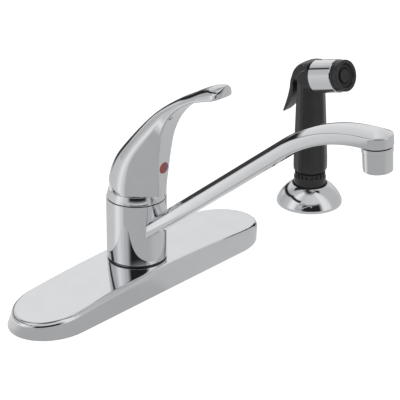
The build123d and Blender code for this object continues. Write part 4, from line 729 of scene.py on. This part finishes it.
def spray_barrel(place):
    """The barrel with its rounded back end, drawn in under the hood."""
    shoulder = BARREL_RADIUS - BARREL_ROUND
    back = BARREL_ROUND - BARREL_BACK
    profile = [(r, -BARREL_BACK) for r in np.linspace(AXIS_GAP, shoulder, 20)[:-1]]
    profile += arc((shoulder, back), BARREL_ROUND, -pi / 2, 0, 12)
    profile += [(BARREL_RADIUS, along) for along in np.linspace(back, BARREL_FRONT, 90)[1:]]
    profile.append((BARREL_BORE, BARREL_FRONT))
    points = []
    for r, depth in profile:
        for turn in np.linspace(0, FULL_TURN, BARREL_STEPS + 1)[:-1]:
            local = Vector((r * cos(turn) * MM, r * sin(turn) * MM, depth * MM))
            spot = place @ local / MM - SPRAY_AXIS
            points.append((Vector(under_hood(*spot)) + SPRAY_AXIS) * MM)
    piece("spray_barrel", points, grid_faces(len(profile), BARREL_STEPS), "spray_handpiece")


def nozzle(place):
    """The nozzle's thick rim, and the disc that sits in a groove inside it."""
    rim = [(BARREL_BORE, BARREL_FRONT), (BARREL_RADIUS, BARREL_FRONT), (BARREL_RADIUS, NOZZLE_FRONT),
           (RIM_INNER, NOZZLE_FRONT), (RIM_INNER - RIM_SLANT, NOZZLE_FRONT - RIM_DEPTH),
           (BARREL_BORE, BARREL_FRONT)]
    lathe("nozzle_rim", rounded(rim, RIM_EDGE, 6), place, "nozzle_ring")
    disc = [(r, NOZZLE_FRONT - depth) for r, depth in DISC]
    lathe("nozzle_disc", rounded(disc, DISC_EDGE, 4), place, "spray_face")


def hand_spray():
    """Grip, barrel and nozzle; the barrel's axis tilts up towards the front."""
    outward = Vector((0, -cos(BARREL_TILT), sin(BARREL_TILT)))
    side = Vector((0, sin(BARREL_TILT), cos(BARREL_TILT)))
    place = placed((SPRAY_AXIS + Vector((0, -BARREL_LEAD, BARREL_HEIGHT))) * MM, side, outward)
    spray_grip()
    spray_barrel(place)
    nozzle(place)


def trigger():
    """The hood and tail: boxy arches over a flat underside, closed at both ends."""
    rows = []
    for y, z, inner_y, inner_z, half in HOOD:
        loop = []
        for turn in np.linspace(0, pi, 25):
            across = half * np.sign(cos(turn)) * abs(cos(turn)) ** HOOD_SQUARE
            rise = sin(turn) ** HOOD_SQUARE
            loop.append((across, inner_y + (y - inner_y) * rise, inner_z + (z - inner_z) * rise))
        loop += [(-half * share, inner_y, inner_z) for share in np.linspace(1, -1, 13)[1:-1]]
        rows.append(loop)
    rows = np.array(rows)
    smooth = [through(rows, np.full(rows.shape[1], at)) for at in np.linspace(0, 1, HOOD_STEPS)]
    ends = [row.mean(axis=0) + (row - row.mean(axis=0)) * HOOD_END for row in (smooth[0], smooth[-1])]
    grid = [ends[0]] + smooth + [ends[1]]
    points = [(Vector(tuple(map(float, p))) + SPRAY_AXIS) * MM for row in grid for p in row]
    piece("trigger_hood", points, grid_faces(len(grid), rows.shape[1]), "trigger", soft_angle=40)


hand_spray()
trigger()

# ---------------------------------------------------------------- stage and light
FLOOR_HALF, FLOOR_LEVEL = 6.0, -0.0001  # metres
FLOOR_CORNERS = ((-1, -1), (1, -1), (1, 1), (-1, 1))
floor_mesh = bpy.data.meshes.new("floor")
floor_mesh.from_pydata([(x * FLOOR_HALF, y * FLOOR_HALF, FLOOR_LEVEL) for x, y in FLOOR_CORNERS],
                       [], [(0, 1, 2, 3)])
floor = bpy.data.objects.new("floor", floor_mesh)
bpy.context.scene.collection.objects.link(floor)


# What the metal sees is a pale tent, brighter to the left of the camera, on its right and behind the
# faucet, with a dark opening round the camera, a dark seam that climbs from behind the faucet to its
# left, a few dark panels and a dark top. Angles are in degrees.
ZENITH = 90.0
TENT = (  # bearing, level
    (-180, 0.62), (-150, 0.68), (-100, 0.72), (-82, 0.92), (-66, 0.86), (-50, 0.56), (-10, 0.56),
    (24, 0.80), (52, 0.88), (78, 0.72), (100, 0.50), (128, 0.58), (152, 0.98), (168, 0.80),
    (180, 0.62),
)
OPENING_BEARING, OPENING_HALF, OPENING_SOFT = -132.0, 36.0, 9.0
OPENING_HEIGHT, OPENING_RISE, OPENING_FADE = 21.0, 17.0, 5.0
SEAM = ((56, 0.0), (62, 5.0), (90, 21.0), (114, 32.0), (128, 39.0), (180, 43.0))  # bearing, elevation
SEAM_HALF, SEAM_SOFT = 4.0, 2.0
SEAM_MIDDLE, SEAM_REACH, SEAM_FADE = 119.0, 62.0, 3.0
TOP_START, TOP_SOFT = 76.0, 8.0
PANELS = (  # bearing, half width, elevation, half height
    (98.0, 9.0, 62.0, 16.0),
    (-45.0, 12.0, 68.0, 6.0),
    (64.0, 7.0, 2.0, 6.0),
)
PANEL_SOFT, PANEL_FADE = 4.0, 3.0
DARK = (0.02, 0.02, 0.022, 1)


def studio():
    """White surround for the camera, and the tent for light and reflections."""
    world = bpy.data.worlds.new("studio")
    world.use_nodes = True
    bpy.context.scene.world = world
    tree = world.node_tree
    tree.nodes.clear()
    out = tree.nodes.new("ShaderNodeOutputWorld")
    where = tree.nodes.new("ShaderNodeTexCoord")
    bearing, elevation = compass(tree, where.outputs["Generated"])
    tent = ramp(tree, bearing, -180, 180, TENT)
    opening = calc(tree, "MULTIPLY",
                   inside(tree, bearing, OPENING_BEARING, OPENING_HALF, OPENING_SOFT),
                   inside(tree, elevation, OPENING_HEIGHT, OPENING_RISE, OPENING_FADE))
    height = ramp(tree, bearing, -180, 180, [(at, high / ZENITH) for at, high in SEAM], "LINEAR")
    over = calc(tree, "SUBTRACT", elevation, calc(tree, "MULTIPLY", height, ZENITH))
    seam = inside(tree, over, 0.0, SEAM_HALF, SEAM_SOFT)
    seam = calc(tree, "MULTIPLY", seam, inside(tree, bearing, SEAM_MIDDLE, SEAM_REACH, SEAM_FADE))
    top = inside(tree, elevation, ZENITH, ZENITH - TOP_START, TOP_SOFT)
    dark = calc(tree, "MAXIMUM", opening, calc(tree, "MAXIMUM", seam, top))
    for at, half, high, rise in PANELS:
        panel = calc(tree, "MULTIPLY", inside(tree, bearing, at, half, PANEL_SOFT),
                     inside(tree, elevation, high, rise, PANEL_FADE))
        dark = calc(tree, "MAXIMUM", dark, panel)
    level = tree.nodes.new("ShaderNodeMix")
    level.data_type = "RGBA"
    tree.links.new(dark, level.inputs["Factor"])
    tree.links.new(tent, level.inputs["A"])
    level.inputs["B"].default_value = DARK
    room = tree.nodes.new("ShaderNodeBackground")
    tree.links.new(level.outputs["Result"], room.inputs["Color"])
    white = tree.nodes.new("ShaderNodeBackground")
    white.inputs["Color"].default_value = (1, 1, 1, 1)
    way = tree.nodes.new("ShaderNodeLightPath")
    choose = tree.nodes.new("ShaderNodeMixShader")
    tree.links.new(way.outputs["Is Camera Ray"], choose.inputs["Fac"])
    tree.links.new(room.outputs["Background"], choose.inputs[1])
    tree.links.new(white.outputs["Background"], choose.inputs[2])
    tree.links.new(choose.outputs["Shader"], out.inputs["Surface"])


# Painted reflection: for the metal's reflections the deck glows in grey levels by bearing from the
# faucet, with painted dark shade on the ground further out, which starts at a distance in metres.
PAINTED_REFLECTION_LEVELS = (  # bearing, level
    (-180, 0.47), (-100, 0.47), (-70, 0.55), (0, 0.58), (90, 0.62), (130, 0.66), (152, 0.92),
    (170, 0.7), (180, 0.47),
)
# Painted shade: dark wedges on the deck beyond a distance, seen only in the metal's reflections.
PAINTED_SHADES = (  # bearing, half width, distance, softness of the distance, depth
    (-124.0, 38.0, 1.6, 0.1, 0.97),
    (52.0, 34.0, 0.42, 0.10, 0.92),
)
SHADE_SOFT = 5.0
FLOOR_GREY, CAMERA_LIFT = 0.82, 0.62


def floor_look():
    """White deck that keeps a soft shadow for the camera; for the metal it glows with a painted
    reflection.
    """
    made, tree, shader = material("floor_white_painted_reflection")
    tree.nodes.remove(shader)
    out = tree.nodes["Material Output"]
    lit = tree.nodes.new("ShaderNodeBsdfDiffuse")
    lit.inputs["Color"].default_value = (FLOOR_GREY, FLOOR_GREY, FLOOR_GREY, 1)
    glow = tree.nodes.new("ShaderNodeEmission")
    way = tree.nodes.new("ShaderNodeLightPath")
    total = tree.nodes.new("ShaderNodeAddShader")
    lift = calc(tree, "MULTIPLY", way.outputs["Is Camera Ray"], CAMERA_LIFT)
    tree.links.new(lift, glow.inputs["Strength"])
    tree.links.new(lit.outputs["BSDF"], total.inputs[0])
    tree.links.new(glow.outputs["Emission"], total.inputs[1])
    where = tree.nodes.new("ShaderNodeTexCoord")
    bearing, _ = compass(tree, where.outputs["Object"])
    reach = tree.nodes.new("ShaderNodeVectorMath")
    reach.operation = "LENGTH"
    tree.links.new(where.outputs["Object"], reach.inputs[0])
    # Painted reflection: grey levels by bearing, seen only by glossy rays.
    deck = ramp(tree, bearing, -180, 180, PAINTED_REFLECTION_LEVELS)
    # Painted shade: each wedge darkens the reflected deck beyond its distance.
    for at, half, start, soft, depth in PAINTED_SHADES:
        beyond = calc(tree, "SUBTRACT", 1.0, inside(tree, reach.outputs["Value"], 0.0, start, soft))
        shade = calc(tree, "MULTIPLY", inside(tree, bearing, at, half, SHADE_SOFT), beyond)
        kept = calc(tree, "SUBTRACT", 1.0, calc(tree, "MULTIPLY", shade, depth))
        deck = calc(tree, "MULTIPLY", deck, kept)
    # The painted reflection glows for glossy rays in place of the lit deck.
    seen = tree.nodes.new("ShaderNodeEmission")
    tree.links.new(deck, seen.inputs["Color"])
    choose = tree.nodes.new("ShaderNodeMixShader")
    tree.links.new(way.outputs["Is Glossy Ray"], choose.inputs["Fac"])
    tree.links.new(total.outputs["Shader"], choose.inputs[1])
    tree.links.new(seen.outputs["Emission"], choose.inputs[2])
    tree.links.new(choose.outputs["Shader"], out.inputs["Surface"])
    return made


floor_mesh.materials.append(floor_look())
studio()

# One wide lamp above the camera, which the metal doesn't reflect. Places and sizes are in metres.
KEY_PLACE, KEY_AIM = Vector((-1.1, -0.9, 1.5)), Vector((0, 0, 0.1))
key = bpy.data.lights.new("key", "AREA")
key.shape = "RECTANGLE"
key.size, key.size_y = 0.9, 1.4
key.energy = 9.0
lamp = bpy.data.objects.new("key", key)
lamp.location = KEY_PLACE
lamp.rotation_euler = (KEY_AIM - KEY_PLACE).to_track_quat("-Z", "Y").to_euler()
lamp.visible_glossy = False
bpy.context.scene.collection.objects.link(lamp)

# ---------------------------------------------------------------- camera
# From the front left and above, with a long lens. Distances are in metres.
AZIMUTH, ELEVATION, ROLL = radians(48.26), radians(24.82), radians(-0.24)
DISTANCE, ASIDE, ABOVE = 1.56800, 0.04885, 0.06135
forward = Vector((sin(AZIMUTH) * cos(ELEVATION), cos(AZIMUTH) * cos(ELEVATION), -sin(ELEVATION)))
right = Vector((cos(AZIMUTH), -sin(AZIMUTH), 0))
up = right.cross(forward)
eye = -forward * DISTANCE + right * ASIDE + up * ABOVE
across = right * cos(ROLL) - up * sin(ROLL)
upward = right * sin(ROLL) + up * cos(ROLL)
camera = bpy.data.cameras.new("camera")
camera.lens, camera.sensor_width = 180.0, 36.0
camera.clip_start, camera.clip_end = 0.05, 30.0
view = bpy.data.objects.new("camera", camera)
view.matrix_world = Matrix(((across.x, upward.x, -forward.x, eye.x),
                            (across.y, upward.y, -forward.y, eye.y),
                            (across.z, upward.z, -forward.z, eye.z), (0, 0, 0, 1)))
bpy.context.scene.collection.objects.link(view)
bpy.context.scene.camera = view
bpy.context.scene.view_settings.view_transform = "Standard"
